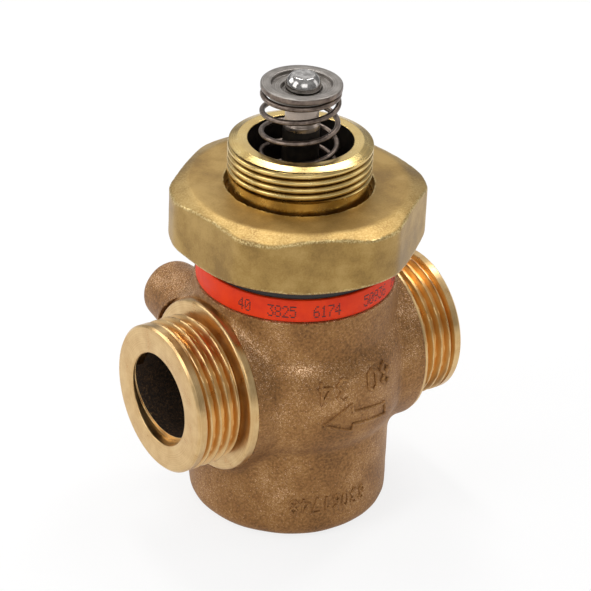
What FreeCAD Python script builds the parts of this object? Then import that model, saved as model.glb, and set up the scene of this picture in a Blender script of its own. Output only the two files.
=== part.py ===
import FreeCAD, Part
import math
import os
import Sketcher

# Two-port control valve, size 20, with external port threads. Millimetres.
# The base stands on z = 0, the stem is on the Z axis, the ports lie along X.

os.makedirs("parts", exist_ok=True)
doc = FreeCAD.newDocument("ControlValve")
sheet = doc.addObject("Spreadsheet::Sheet", "Sizes")

sizes = {
    # casting
    "portHeight": 34.0,
    "faceToFace": 70.0,
    "bodyRadius": 22.2,
    "bodyBaseRound": 2.6,
    "bellyRadius": 25.0,
    "tubeRadius": 19.5,
    "castingBlend": 2.0,
    "turningClear": 0.6,
    "bodyRise": 38.0,
    "threadRunout": 0.8,
    "neckStep": 1.7,
    # ports
    "portThreadRadius": 16.62,
    "portThreadLength": 10.1,
    "portChamfer": 0.5,
    "portReliefDepth": 1.62,
    "portReliefLength": 1.3,
    "collarLedge": 2.68,
    "leftCollarLength": 2.0,
    "rightCollarLength": 0.8,
    "mouthStep": 0.5,
    "mouthDepth": 3.0,
    "portBoreRadius": 10.0,
    "boreEnd": 17.0,
    # blind cast boss on the outlet side
    "bossAcross": -15.2,
    "bossRise": 8.8,
    "bossReach": 28.2,
    "bossTaper": 3.7,
    "bossRootRadius": 10.4,
    "bossRound": 1.6,
    # inner passages
    "floorThickness": 6.0,
    "chamberRadius": 13.3,
    "partitionDrop": 1.5,
    "partitionThickness": 5.0,
    "chamberRise": 16.0,
    "threadWall": 3.6,
    "inletFootAcross": 9.0,
    "inletFootHeight": 13.0,
    "inletTilt": 43.0,
    "inletLength": 19.0,
    "passageRadius": 6.5,
    "outletRise": 6.2,
    # seat ring
    "seatBore": 8.0,
    "seatWall": 2.45,
    "seatLedge": 1.55,
    "seatFlangeThickness": 0.9,
    "seatLipWidth": 1.3,
    "seatLipHeight": 1.4,
    "seatLipChamfer": 0.5,
    "seatRingWire": 1.2,
    "fitClearance": 0.05,
    # band and dust ring under the nut
    "bandHeight": 5.4,
    "bandThickness": 0.8,
    "bandSeatStep": 0.5,
    "dustRingThickness": 0.9,
    "dustRingHeight": 3.4,
    "dustRingGap": 0.1,
    # union nut
    "nutHeight": 13.8,
    "nutWall": 5.45,
    "nutCornerTrim": 1.722,
    "nutTurn": 36.7,
    "nutTopChamferWidth": 4.3,
    "nutTopChamfer": 1.6,
    "nutBottomChamferWidth": 3.0,
    "nutBottomChamfer": 1.5,
    "nutCeiling": 3.0,
    "nutHoleClear": 0.85,
    "nutHoleChamfer": 0.5,
    "nutMouthClear": 1.0,
    "nutMouthDepth": 1.2,
    # bonnet insert
    "flangeLedge": 2.7,
    "flangeThickness": 3.1,
    "skirtClearance": 0.1,
    "skirtLift": 5.0,
    "skirtInnerRadius": 13.6,
    "hubWall": 2.0,
    "hubLip": 0.7,
    "floorDrop": 10.0,
    "ringGrooveDrop": 7.3,
    "bonnetRingWire": 2.2,
    "neckRise": 10.26,
    "neckThreadRadius": 15.65,
    "neckUndercutDepth": 0.45,
    "neckUndercutRise": 2.7,
    "neckChamfer": 0.85,
    "cupWall": 4.25,
    # stem seals
    "sealWidth": 2.44,
    "bushWall": 1.44,
    "bushLength": 10.0,
    "stemRingWire": 2.4,
    "spacerThickness": 2.2,
    "stackGap": 0.05,
    "runningClearance": 0.06,
    "stemHoleClear": 0.3,
    # gland nut
    "glandAcrossFlats": 12.0,
    "glandHeadHeight": 3.4,
    "glandShankLength": 7.8,
    "glandRingWire": 1.0,
    "wiperRadius": 5.15,
    "wiperDepth": 1.5,
    # spring and its seats
    "washerThickness": 0.8,
    "washerWidth": 3.9,
    "washerClear": 0.2,
    "springWire": 1.1,
    "springMeanRadius": 8.1,
    "springLength": 25.4,
    "springStart": -86.4,
    "springActiveTurns": 4.4,
    "retainerOverhang": 0.13,
    "retainerRim": 1.24,
    "retainerRimWidth": 2.32,
    "retainerRecessDepth": 0.84,
    "retainerHubClear": 0.65,
    "retainerHubDrop": 2.2,
    "retainerPocketRadius": 4.05,
    "retainerWeb": 1.4,
    # stem
    "stemRadius": 4.0,
    "stemStepDepth": 0.37,
    "stemStepDrop": 7.4,
    "stemStepChamfer": 0.5,
    "stemSpigotRadius": 2.0,
    "stemSpigotLength": 4.4,
    "stemTailRadius": 2.5,
    "stemHeadRadius": 3.2,
    "stemHeadHeight": 4.0,
    "stemHeadRound": 1.7,
    "stroke": 5.0,
    "seatGap": 0.06,
    # plug
    "plugRadius": 11.3,
    "plugThickness": 4.2,
    "plugHubRadius": 6.0,
    "plugHubHeight": 3.64,
    "plugStopGap": 0.3,
    "plugRimLift": 0.3,
    "softRingInnerRadius": 6.4,
    "softRingRadius": 10.55,
    "softRingThickness": 2.0,
    "coneClear": 0.4,
    "coneLength": 6.4,
    "coneStraight": 1.0,
    "coneWaistTaper": 0.9,
    "coneTipTaper": 1.8,
    "lockNutAcrossFlats": 8.0,
    "lockNutHeight": 4.0,
    "tailPoke": 0.6,
}


def fillSheet():
    for row, (name, size) in enumerate(sizes.items(), start=1):
        sheet.set(f"A{row}", name)
        sheet.set(f"B{row}", str(size))
        sheet.setAlias(f"B{row}", name)
    doc.recompute()


def number(expression):
    """Value of an expression on the sheet's sizes."""
    return float(sheet.evalExpression(expression))


# Radii that follow from others, as expressions on the sheet.
stemBore = "(Sizes.stemRadius + Sizes.runningClearance)"
bodyThreadRadius = "(Sizes.bodyRadius - Sizes.neckStep)"
bandSeatRadius = f"({bodyThreadRadius} + Sizes.bandSeatStep)"
bandRadius = f"({bandSeatRadius} + Sizes.bandThickness)"
dustRingRadius = f"({bodyThreadRadius} + Sizes.dustRingThickness)"
insertBore = f"({bodyThreadRadius} - Sizes.threadWall)"
nutAcrossFlats = f"(2 * ({bodyThreadRadius} + Sizes.fitClearance + Sizes.nutWall))"
nutHoleRadius = "(Sizes.neckThreadRadius + Sizes.nutHoleClear)"
bonnetFlangeRadius = f"({insertBore} + Sizes.flangeLedge)"
neckUndercutRadius = "(Sizes.neckThreadRadius - Sizes.neckUndercutDepth)"
cupRadius = "(Sizes.neckThreadRadius - Sizes.cupWall)"
washerRadius = f"({cupRadius} - Sizes.washerClear)"
washerInnerRadius = f"({washerRadius} - Sizes.washerWidth)"
stemHole = "(Sizes.stemRadius + Sizes.stemHoleClear)"
bushRadius = f"({stemBore} + Sizes.bushWall)"
sealChamberRadius = f"({stemBore} + Sizes.sealWidth)"
hubRadius = f"({sealChamberRadius} + Sizes.hubWall)"
seatShankRadius = "(Sizes.seatBore + Sizes.seatWall)"
seatFlangeRadius = f"({seatShankRadius} + Sizes.seatLedge)"
seatLipRadius = "(Sizes.seatBore + Sizes.seatLipWidth)"
coneRadius = "(Sizes.seatBore - Sizes.coneClear)"
coneWaistRadius = f"({coneRadius} - Sizes.coneWaistTaper)"
coneTipRadius = f"({coneWaistRadius} - Sizes.coneTipTaper)"
mouthRadius = "(Sizes.portBoreRadius + Sizes.mouthStep)"
collarRadius = "(Sizes.portThreadRadius + Sizes.collarLedge)"
portReliefRadius = "(Sizes.portThreadRadius - Sizes.portReliefDepth)"
bossEndRadius = "(Sizes.bossRootRadius - Sizes.bossTaper)"
retainerHubRadius = "(Sizes.springMeanRadius - Sizes.springWire / 2 - Sizes.retainerHubClear)"
retainerRadius = "(Sizes.springMeanRadius + Sizes.springWire / 2 + Sizes.retainerOverhang)"
retainerRecessRadius = f"({retainerRadius} - Sizes.retainerRimWidth)"
stemUpperRadius = "(Sizes.stemRadius - Sizes.stemStepDepth)"

# Heights that several pieces share.
partitionTop = "(Sizes.portHeight - Sizes.partitionDrop)"
partitionBottom = f"({partitionTop} - Sizes.partitionThickness)"
upperChamberTop = "(Sizes.portHeight + Sizes.chamberRise)"
bodyTop = "(Sizes.portHeight + Sizes.bodyRise)"
portRootX = "(Sizes.faceToFace / 2 - Sizes.portThreadLength)"
portCollarX = f"({portRootX} - Sizes.portReliefLength)"

nutShoulder = f"({bodyTop} + Sizes.flangeThickness)"
nutTop = f"({nutShoulder} + Sizes.nutCeiling)"
nutBottom = f"({nutTop} - Sizes.nutHeight)"
nutCornerRadius = f"({nutAcrossFlats} / 2 / cos(30 deg) - Sizes.nutCornerTrim)"
nutTopFaceRadius = f"({nutCornerRadius} - Sizes.nutTopChamferWidth)"
nutBottomFaceRadius = f"({nutCornerRadius} - Sizes.nutBottomChamferWidth)"
nutMouthRadius = f"({bodyThreadRadius} + Sizes.nutMouthClear)"
bandTop = f"({nutBottom} - Sizes.dustRingHeight)"
bandBottom = f"({bandTop} - Sizes.bandHeight)"

seatLipTop = f"({partitionTop} + Sizes.seatFlangeThickness + Sizes.seatLipHeight)"
softRingBottom = f"({seatLipTop} + Sizes.stroke + Sizes.seatGap)"
softRingTop = f"({softRingBottom} + Sizes.softRingThickness)"
plugRimBottom = f"({softRingBottom} + Sizes.plugRimLift)"
plugDiscTop = f"({plugRimBottom} + Sizes.plugThickness)"
plugHubTop = f"({plugDiscTop} + Sizes.plugHubHeight)"
coneBottom = f"({softRingBottom} - Sizes.coneLength)"
lockNutBottom = f"({coneBottom} - Sizes.lockNutHeight)"
tailBottom = f"({lockNutBottom} - Sizes.tailPoke)"

hubBottom = f"({plugHubTop} + Sizes.plugStopGap)"
bushBottom = f"({hubBottom} + Sizes.hubLip)"
sealChamberFloor = f"({bushBottom} + Sizes.bushLength)"
lowerSealMiddle = f"({sealChamberFloor} + Sizes.stackGap + Sizes.stemRingWire / 2)"
spacerBottom = f"({lowerSealMiddle} + Sizes.stemRingWire / 2 + Sizes.stackGap)"
spacerTop = f"({spacerBottom} + Sizes.spacerThickness)"
upperSealMiddle = f"({spacerTop} + Sizes.stackGap + Sizes.stemRingWire / 2)"
glandBottom = f"({upperSealMiddle} + Sizes.stemRingWire / 2 + Sizes.stackGap)"
cupFloor = f"({glandBottom} + Sizes.glandShankLength)"
glandRingMiddle = f"(({glandBottom} + {cupFloor}) / 2)"
glandTop = f"({cupFloor} + Sizes.glandHeadHeight)"
skirtRadius = f"({insertBore} - Sizes.skirtClearance)"
skirtBottom = f"({upperChamberTop} + Sizes.skirtLift)"
floorUnderside = f"({bodyTop} - Sizes.floorDrop)"
ringGrooveHeight = f"({bodyTop} - Sizes.ringGrooveDrop)"
neckUndercutTop = f"({nutTop} + Sizes.neckUndercutRise)"
neckTop = f"({nutTop} + Sizes.neckRise)"

washerTop = f"({cupFloor} + Sizes.washerThickness)"
springTop = f"({washerTop} + Sizes.springLength)"
retainerTop = f"({springTop} + Sizes.retainerRim)"
stemShoulder = f"({springTop} - Sizes.retainerHubDrop)"
webTop = f"({stemShoulder} + Sizes.retainerWeb)"
stemStep = f"({springTop} - Sizes.stemStepDrop)"


def newBody(label):
    body = doc.addObject("PartDesign::Body", label)
    body.Label = label
    return body


def originPlane(body, role):
    for feature in body.Origin.OriginFeatures:
        if feature.Role == role:
            return feature
    raise ValueError(f"no origin plane {role}")


def newSketch(body, name, role="XZ_Plane", across="0", up="0", out="0"):
    sketch = body.newObject("Sketcher::SketchObject", f"{body.Name}_{name}")
    sketch.AttachmentSupport = (originPlane(body, role), [""])
    sketch.MapMode = "FlatFace"
    for letter, expression in zip("xyz", (across, up, out)):
        if expression != "0":
            sketch.setExpression(f"AttachmentOffset.Base.{letter}", expression)
    return sketch


def pinPoint(sketch, line, letter, expression, size):
    """Tie the start of a line to the sketch's origin along one direction."""
    if expression == "0":
        axis = -2 if letter == "X" else -1
        sketch.addConstraint(Sketcher.Constraint("PointOnObject", line, 1, axis))
        return
    rule = Sketcher.Constraint(f"Distance{letter}", -1, 1, line, 1, size)
    index = sketch.addConstraint(rule)
    sketch.setExpression(f"Constraints[{index}]", expression)


def drawOutline(sketch, corners):
    """Closed outline of straight lines, each corner tied to the sheet."""
    spots = [(number(across), number(up)) for across, up in corners]
    count = len(spots)
    for i in range(count):
        start = FreeCAD.Vector(*spots[i], 0)
        end = FreeCAD.Vector(*spots[(i + 1) % count], 0)
        sketch.addGeometry(Part.LineSegment(start, end), False)
    for i in range(count):
        sketch.addConstraint(Sketcher.Constraint("Coincident", i, 2, (i + 1) % count, 1))
    for i in range(count):
        pinPoint(sketch, i, "X", corners[i][0], spots[i][0])
        pinPoint(sketch, i, "Y", corners[i][1], spots[i][1])


def turn(body, name, corners, kind="PartDesign::Revolution"):
    """Turn an outline of (radius, height) corners about the body's Z axis."""
    sketch = newSketch(body, f"{name}_outline")
    drawOutline(sketch, corners)
    feature = body.newObject(kind, f"{body.Name}_{name}")
    feature.Profile = sketch
    feature.ReferenceAxis = (sketch, ["V_Axis"])
    feature.Angle = 360
    return feature


def turnedPiece(label, corners):
    body = newBody(label)
    turn(body, "turned", corners)
    return body


def hexCorners(acrossFlats, turnAngle="0"):
    corners = []
    for i in range(6):
        reach = f"{acrossFlats} / 2 / cos(30 deg)"
        angle = f"({turnAngle} + {60 * i}) * 1 deg"
        corners.append((f"{reach} * cos({angle})", f"{reach} * sin({angle})"))
    return corners


def hexPad(body, name, acrossFlats, bottom, height, turnAngle="0"):
    sketch = newSketch(body, f"{name}_outline", "XY_Plane", out=bottom)
    drawOutline(sketch, hexCorners(acrossFlats, turnAngle))
    pad = body.newObject("PartDesign::Pad", f"{body.Name}_{name}")
    pad.Profile = sketch
    pad.setExpression("Length", height)
    return pad


def ringSeal(label, ringRadius, middleHeight, wire):
    """Round rubber ring lying level on the valve's axis, a hair thinner than its groove."""
    ring = doc.addObject("Part::Torus", label)
    ring.Label = label
    ring.setExpression("Radius1", ringRadius)
    ring.setExpression("Radius2", f"{wire} / 2 - Sizes.fitClearance / 4")
    ring.setExpression("Placement.Base.z", middleHeight)
    return ring


def edgesNear(feature, isWanted):
    return [f"Edge{i}" for i, edge in enumerate(feature.Shape.Edges, start=1) if isWanted(edge)]


def roundEdges(body, name, radius, isWanted):
    doc.recompute()
    base = body.Tip
    names = edgesNear(base, isWanted)
    if not names:
        raise ValueError(f"{name}: no edge to round")
    fillet = body.newObject("PartDesign::Fillet", f"{body.Name}_{name}")
    fillet.Base = (base, names)
    fillet.setExpression("Radius", radius)
    return fillet


def circleAt(radius, height):
    """Test for a level circular edge of this radius at this height."""
    size = number(radius)
    level = number(height)

    def isWanted(edge):
        if not isinstance(edge.Curve, Part.Circle):
            return False
        flat = abs(edge.BoundBox.ZMax - edge.BoundBox.ZMin) < 1e-3
        return flat and abs(edge.Curve.Radius - size) < 1e-3 and abs(edge.BoundBox.ZMin - level) < 1e-3

    return isWanted


def placeOn(feature, body, role, base, axis, angle):
    """Put a solid primitive on an origin plane, moved and turned."""
    feature.AttachmentSupport = (originPlane(body, role), [""])
    feature.MapMode = "FlatFace"
    turned = FreeCAD.Rotation(FreeCAD.Vector(*axis), number(angle))
    feature.AttachmentOffset = FreeCAD.Placement(FreeCAD.Vector(0, 0, 0), turned)
    for letter, expression in zip("xyz", base):
        if expression != "0":
            feature.setExpression(f"AttachmentOffset.Base.{letter}", expression)
    if "Sizes" in angle:
        feature.setExpression("AttachmentOffset.Rotation.Angle", angle)


def turnAway(body, name, corners):
    """Cut the ring between (radius, height) corners about the body's Z axis."""
    turn(body, name, corners, "PartDesign::Groove")


def castingForm(body):
    """The rough casting: barrel, belly and cross tube before any machining."""
    turn(body, "barrel", [
        ("0", "0"),
        ("Sizes.bodyRadius", "0"),
        ("Sizes.bodyRadius", bodyTop),
        ("0", bodyTop),
    ])
    roundEdges(body, "base_round", "Sizes.bodyBaseRound", circleAt("Sizes.bodyRadius", "0"))
    belly = body.newObject("PartDesign::AdditiveSphere", "belly")
    placeOn(belly, body, "XY_Plane", ("0", "0", "Sizes.portHeight"), (0, 0, 1), "0")
    belly.setExpression("Radius", "Sizes.bellyRadius")
    tube = body.newObject("PartDesign::AdditiveCylinder", "cross_tube")
    placeOn(tube, body, "XY_Plane", ("-Sizes.faceToFace / 2", "0", "Sizes.portHeight"), (0, 1, 0), "90")
    tube.setExpression("Radius", "Sizes.tubeRadius")
    tube.setExpression("Height", "Sizes.faceToFace")


def turnPort(body, name, side, collarLength):
    """Turn one end of the cross tube down to its collar, relief and thread."""
    clear = "Sizes.tubeRadius + Sizes.turningClear"
    rootX = f"{side}{portRootX}"
    collarX = f"{side}{portCollarX}"
    castX = f"{side}({portCollarX} - {collarLength})"
    endX = f"{side}(Sizes.faceToFace / 2)"
    chamferX = f"{side}(Sizes.faceToFace / 2 - Sizes.portChamfer)"
    sketch = newSketch(body, f"{name}_outline", up="Sizes.portHeight")
    drawOutline(sketch, [
        (castX, clear),
        (castX, collarRadius),
        (collarX, collarRadius),
        (collarX, portReliefRadius),
        (rootX, portReliefRadius),
        (rootX, "Sizes.portThreadRadius"),
        (chamferX, "Sizes.portThreadRadius"),
        (endX, "Sizes.portThreadRadius - Sizes.portChamfer"),
        (endX, clear),
    ])
    groove = body.newObject("PartDesign::Groove", f"{body.Name}_{name}")
    groove.Profile = sketch
    groove.ReferenceAxis = (sketch, ["H_Axis"])
    groove.Angle = 360


def turnNeck(body):
    """Turn the top of the barrel to the band's seat and the nut's thread."""
    clear = "Sizes.bellyRadius"
    turnAway(body, "neck", [
        (clear, bandBottom),
        (bandSeatRadius, bandBottom),
        (bandSeatRadius, bandTop),
        (bodyThreadRadius, bandTop),
        (bodyThreadRadius, f"{bodyTop} - Sizes.threadRunout"),
        (f"{bodyThreadRadius} - Sizes.threadRunout", bodyTop),
        (clear, bodyTop),
    ])


def blindBoss(body):
    """Tapered cast boss on the outlet side; this size leaves it undrilled."""
    boss = body.newObject("PartDesign::AdditiveCone", "boss")
    base = ("Sizes.bossAcross", "Sizes.portHeight + Sizes.bossRise", "0")
    placeOn(boss, body, "XZ_Plane", base, (1, 0, 0), "180")
    boss.setExpression("Radius1", "Sizes.bossRootRadius")
    boss.setExpression("Radius2", bossEndRadius)
    boss.setExpression("Height", "Sizes.bossReach")
    reach = number("Sizes.bossReach")
    roundEdges(body, "boss_round", "Sizes.bossRound",
               lambda edge: abs(edge.BoundBox.YMin - reach) < 1e-3)


def blendCasting(body):
    """Foundry blends where the tube, the belly and the barrel meet."""
    axisHeight = number("Sizes.portHeight")
    belly = number("Sizes.bellyRadius")
    barrel = number("Sizes.bodyRadius")
    tube = number("Sizes.tubeRadius")

    def isBellyRing(edge):
        spot = edge.valueAt((edge.FirstParameter + edge.LastParameter) / 2)
        rise = spot.z - axisHeight
        onBelly = abs(math.sqrt(spot.x ** 2 + spot.y ** 2 + rise ** 2) - belly) < 1e-3
        onBarrel = abs(math.hypot(spot.x, spot.y) - barrel) < 1e-3
        onTube = abs(math.hypot(spot.y, rise) - tube) < 1e-3
        return (onBelly and (onBarrel or onTube)) or (onBarrel and onTube)

    roundEdges(body, "casting_blend", "Sizes.castingBlend", isBellyRing)


def innerPassages(body):
    """Chambers round the seat, the insert's bore and both port passages."""
    turnAway(body, "chambers", [
        ("0", "Sizes.floorThickness"),
        ("Sizes.chamberRadius", "Sizes.floorThickness"),
        ("Sizes.chamberRadius", partitionBottom),
        (f"{seatShankRadius} + Sizes.fitClearance", partitionBottom),
        (f"{seatShankRadius} + Sizes.fitClearance", partitionTop),
        ("Sizes.chamberRadius", partitionTop),
        ("Sizes.chamberRadius", upperChamberTop),
        (insertBore, upperChamberTop),
        (insertBore, bodyTop),
        ("0", bodyTop),
    ])
    portBore(body, "outlet", "-90")
    portBore(body, "inlet", "90")
    inlet = body.newObject("PartDesign::SubtractiveCylinder", "inlet_passage")
    placeOn(inlet, body, "XY_Plane", ("Sizes.inletFootAcross", "0", "Sizes.inletFootHeight"),
            (0, 1, 0), "Sizes.inletTilt")
    inlet.setExpression("Radius", "Sizes.passageRadius")
    inlet.setExpression("Height", "Sizes.inletLength")
    outlet = body.newObject("PartDesign::SubtractiveCylinder", "outlet_passage")
    placeOn(outlet, body, "XY_Plane", ("0", "0", "Sizes.portHeight + Sizes.outletRise"),
            (0, 1, 0), "-90")
    outlet.setExpression("Radius", "Sizes.passageRadius")
    outlet.setExpression("Height", "Sizes.boreEnd + Sizes.passageRadius")


def portBore(body, name, angle):
    side = "-" if angle.startswith("-") else ""
    bore = body.newObject("PartDesign::SubtractiveCylinder", f"{name}_bore")
    placeOn(bore, body, "XY_Plane", (f"{side}Sizes.boreEnd", "0", "Sizes.portHeight"), (0, 1, 0), angle)
    bore.setExpression("Radius", "Sizes.portBoreRadius")
    bore.setExpression("Height", "Sizes.faceToFace / 2 - Sizes.boreEnd")
    mouth = body.newObject("PartDesign::SubtractiveCylinder", f"{name}_mouth")
    start = f"{side}(Sizes.faceToFace / 2 - Sizes.mouthDepth)"
    placeOn(mouth, body, "XY_Plane", (start, "0", "Sizes.portHeight"), (0, 1, 0), angle)
    mouth.setExpression("Radius", mouthRadius)
    mouth.setExpression("Height", "Sizes.mouthDepth")


def makeValveBody():
    body = newBody("valve_body")
    castingForm(body)
    blendCasting(body)
    blindBoss(body)
    turnPort(body, "outlet_turning", "-", "Sizes.leftCollarLength")
    turnPort(body, "inlet_turning", "", "Sizes.rightCollarLength")
    turnNeck(body)
    innerPassages(body)
    return body


def makeSeat():
    """Hardened ring pressed into the partition, with a raised sealing lip."""
    flangeTop = f"{partitionTop} + Sizes.seatFlangeThickness"
    middle = f"({partitionBottom} + Sizes.partitionThickness / 2)"
    grooveTop = f"{middle} + Sizes.seatRingWire / 2"
    grooveBottom = f"{middle} - Sizes.seatRingWire / 2"
    grooveRadius = f"({seatShankRadius} + Sizes.fitClearance - Sizes.seatRingWire)"
    seat = turnedPiece("valve_seat", [
        ("Sizes.seatBore", partitionBottom),
        (seatShankRadius, partitionBottom),
        (seatShankRadius, grooveBottom),
        (grooveRadius, grooveBottom),
        (grooveRadius, grooveTop),
        (seatShankRadius, grooveTop),
        (seatShankRadius, partitionTop),
        (seatFlangeRadius, partitionTop),
        (seatFlangeRadius, flangeTop),
        (seatLipRadius, flangeTop),
        (seatLipRadius, f"{seatLipTop} - Sizes.seatLipChamfer"),
        (f"{seatLipRadius} - Sizes.seatLipChamfer", seatLipTop),
        ("Sizes.seatBore", seatLipTop),
    ])
    ring = ringSeal("seat_o_ring", f"{grooveRadius} + Sizes.seatRingWire / 2", middle,
                    "Sizes.seatRingWire")
    return [seat, ring]


def makeBand():
    """Red ring in the groove below the nut."""
    inner = f"{bandSeatRadius} + Sizes.fitClearance"
    return turnedPiece("label_band", [
        (inner, f"{bandBottom} + Sizes.fitClearance"),
        (bandRadius, f"{bandBottom} + Sizes.fitClearance"),
        (bandRadius, f"{bandTop} - Sizes.fitClearance"),
        (inner, f"{bandTop} - Sizes.fitClearance"),
    ])


def makeDustRing():
    """Black rubber ring that closes the space between band and nut."""
    inner = f"{bodyThreadRadius} + Sizes.fitClearance"
    return turnedPiece("dust_ring", [
        (inner, f"{bandTop} + Sizes.fitClearance"),
        (dustRingRadius, f"{bandTop} + Sizes.fitClearance"),
        (dustRingRadius, f"{nutBottom} - Sizes.dustRingGap"),
        (inner, f"{nutBottom} - Sizes.dustRingGap"),
    ])


def makeUnionNut():
    """Forged hexagon nut: corners turned off, wide chamfers, a holed ceiling."""
    body = newBody("union_nut")
    hexPad(body, "hexagon", nutAcrossFlats, nutBottom, "Sizes.nutHeight",
           "Sizes.nutTurn")
    doc.recompute()
    clear = nutAcrossFlats
    turnAway(body, "corner_turning", [
        (nutTopFaceRadius, nutTop),
        (nutCornerRadius, f"{nutTop} - Sizes.nutTopChamfer"),
        (nutCornerRadius, f"{nutBottom} + Sizes.nutBottomChamfer"),
        (nutBottomFaceRadius, nutBottom),
        (clear, nutBottom),
        (clear, nutTop),
    ])
    bore = f"{bodyThreadRadius} + Sizes.fitClearance"
    turnAway(body, "bore", [
        ("0", nutBottom),
        (nutMouthRadius, nutBottom),
        (nutMouthRadius, f"{nutBottom} + Sizes.nutMouthDepth"),
        (bore, f"{nutBottom} + Sizes.nutMouthDepth"),
        (bore, nutShoulder),
        (nutHoleRadius, nutShoulder),
        (nutHoleRadius, f"{nutTop} - Sizes.nutHoleChamfer"),
        (f"{nutHoleRadius} + Sizes.nutHoleChamfer", nutTop),
        ("0", nutTop),
    ])
    return body


def makeBonnet():
    """Turned insert: skirt in the body, clamped flange, actuator neck and cup."""
    grooveTop = f"{ringGrooveHeight} + Sizes.bonnetRingWire"
    grooveRadius = f"({insertBore} - Sizes.bonnetRingWire)"
    bonnet = turnedPiece("bonnet", [
        (cupRadius, neckTop),
        ("Sizes.neckThreadRadius - Sizes.neckChamfer", neckTop),
        ("Sizes.neckThreadRadius", f"{neckTop} - Sizes.neckChamfer"),
        ("Sizes.neckThreadRadius", neckUndercutTop),
        (neckUndercutRadius, neckUndercutTop),
        (neckUndercutRadius, nutShoulder),
        (bonnetFlangeRadius, nutShoulder),
        (bonnetFlangeRadius, bodyTop),
        (skirtRadius, bodyTop),
        (skirtRadius, grooveTop),
        (grooveRadius, grooveTop),
        (grooveRadius, ringGrooveHeight),
        (skirtRadius, ringGrooveHeight),
        (skirtRadius, skirtBottom),
        ("Sizes.skirtInnerRadius", skirtBottom),
        ("Sizes.skirtInnerRadius", floorUnderside),
        (hubRadius, floorUnderside),
        (hubRadius, hubBottom),
        (stemHole, hubBottom),
        (stemHole, bushBottom),
        (bushRadius, bushBottom),
        (bushRadius, sealChamberFloor),
        (sealChamberRadius, sealChamberFloor),
        (sealChamberRadius, cupFloor),
        (cupRadius, cupFloor),
    ])
    ringRadius = f"{insertBore} - Sizes.bonnetRingWire / 2"
    ringMiddle = f"{ringGrooveHeight} + Sizes.bonnetRingWire / 2"
    ring = ringSeal("bonnet_o_ring", ringRadius, ringMiddle, "Sizes.bonnetRingWire")
    return [bonnet, ring]


def makeStemSeals():
    """Guide bush, two rubber rings and the spacer between them."""
    bush = turnedPiece("stem_bush", [
        (stemBore, bushBottom),
        (bushRadius, bushBottom),
        (bushRadius, sealChamberFloor),
        (stemBore, sealChamberFloor),
    ])
    ringRadius = f"({stemBore} + {sealChamberRadius}) / 2"
    ringWire = f"({sealChamberRadius} - {stemBore})"
    lower = ringSeal("stem_seal_lower", ringRadius, lowerSealMiddle, ringWire)
    upper = ringSeal("stem_seal_upper", ringRadius, upperSealMiddle, ringWire)
    spacer = turnedPiece("seal_spacer", [
        (stemHole, spacerBottom),
        (f"{sealChamberRadius} - Sizes.fitClearance", spacerBottom),
        (f"{sealChamberRadius} - Sizes.fitClearance", spacerTop),
        (stemHole, spacerTop),
    ])
    return [bush, lower, upper, spacer]


def makeGland():
    """Gland nut in the cup's floor, its own ring, and the wiper in its head."""
    body = newBody("gland_nut")
    wiperSeat = "(Sizes.wiperRadius + Sizes.fitClearance)"
    wiperFloor = f"{glandTop} - Sizes.wiperDepth"
    shank = f"{sealChamberRadius} - Sizes.fitClearance"
    groove = f"({shank} - Sizes.glandRingWire)"
    grooveBottom = f"{glandRingMiddle} - Sizes.glandRingWire / 2"
    grooveTop = f"{glandRingMiddle} + Sizes.glandRingWire / 2"
    turn(body, "shank", [
        (stemHole, glandBottom),
        (shank, glandBottom),
        (shank, grooveBottom),
        (groove, grooveBottom),
        (groove, grooveTop),
        (shank, grooveTop),
        (shank, cupFloor),
        (stemHole, cupFloor),
    ])
    hexPad(body, "head", "Sizes.glandAcrossFlats", cupFloor, "Sizes.glandHeadHeight")
    doc.recompute()
    turnAway(body, "head_bore", [
        ("0", cupFloor),
        (stemHole, cupFloor),
        (stemHole, wiperFloor),
        (wiperSeat, wiperFloor),
        (wiperSeat, glandTop),
        ("0", glandTop),
    ])
    ring = ringSeal("gland_o_ring", f"{groove} + Sizes.glandRingWire / 2",
                    glandRingMiddle, "Sizes.glandRingWire")
    wiper = turnedPiece("wiper_ring", [
        (stemBore, wiperFloor),
        ("Sizes.wiperRadius", wiperFloor),
        ("Sizes.wiperRadius", glandTop),
        (stemBore, glandTop),
    ])
    return [body, ring, wiper]


def makeSpringWasher():
    return turnedPiece("spring_washer", [
        (washerInnerRadius, cupFloor),
        (washerRadius, cupFloor),
        (washerRadius, washerTop),
        (washerInnerRadius, washerTop),
    ])


def makeReturnSpring():
    """Round wire coil with one closed turn at each end."""
    wire = number("Sizes.springWire")
    radius = number("Sizes.springMeanRadius")
    bottom = number(washerTop) + wire / 2
    top = number(springTop) - wire / 2
    startAngle = math.radians(number("Sizes.springStart"))
    active = number("Sizes.springActiveTurns")
    closedPitch = wire * 1.02
    openPitch = (top - bottom - 2 * closedPitch) / active
    turns = active + 2
    steps = 12 * math.ceil(turns)
    points = []
    for i in range(steps + 1):
        done = turns * i / steps
        fromBottom = min(done, 1)
        fromTop = max(done - 1 - active, 0)
        spread = done - fromBottom - fromTop
        height = bottom + closedPitch * (fromBottom + fromTop) + openPitch * spread
        angle = startAngle + 2 * math.pi * done
        points.append(FreeCAD.Vector(radius * math.cos(angle), radius * math.sin(angle), height))
    path = Part.BSplineCurve()
    path.interpolate(points)
    start = path.value(path.FirstParameter)
    along = path.tangent(path.FirstParameter)[0]
    section = Part.Wire(Part.Circle(start, along, wire / 2).toShape())
    coil = Part.Wire(path.toShape()).makePipeShell([section], True, True)
    spring = doc.addObject("Part::Feature", "return_spring")
    spring.Label = "return_spring"
    spring.Shape = coil
    return spring


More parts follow.
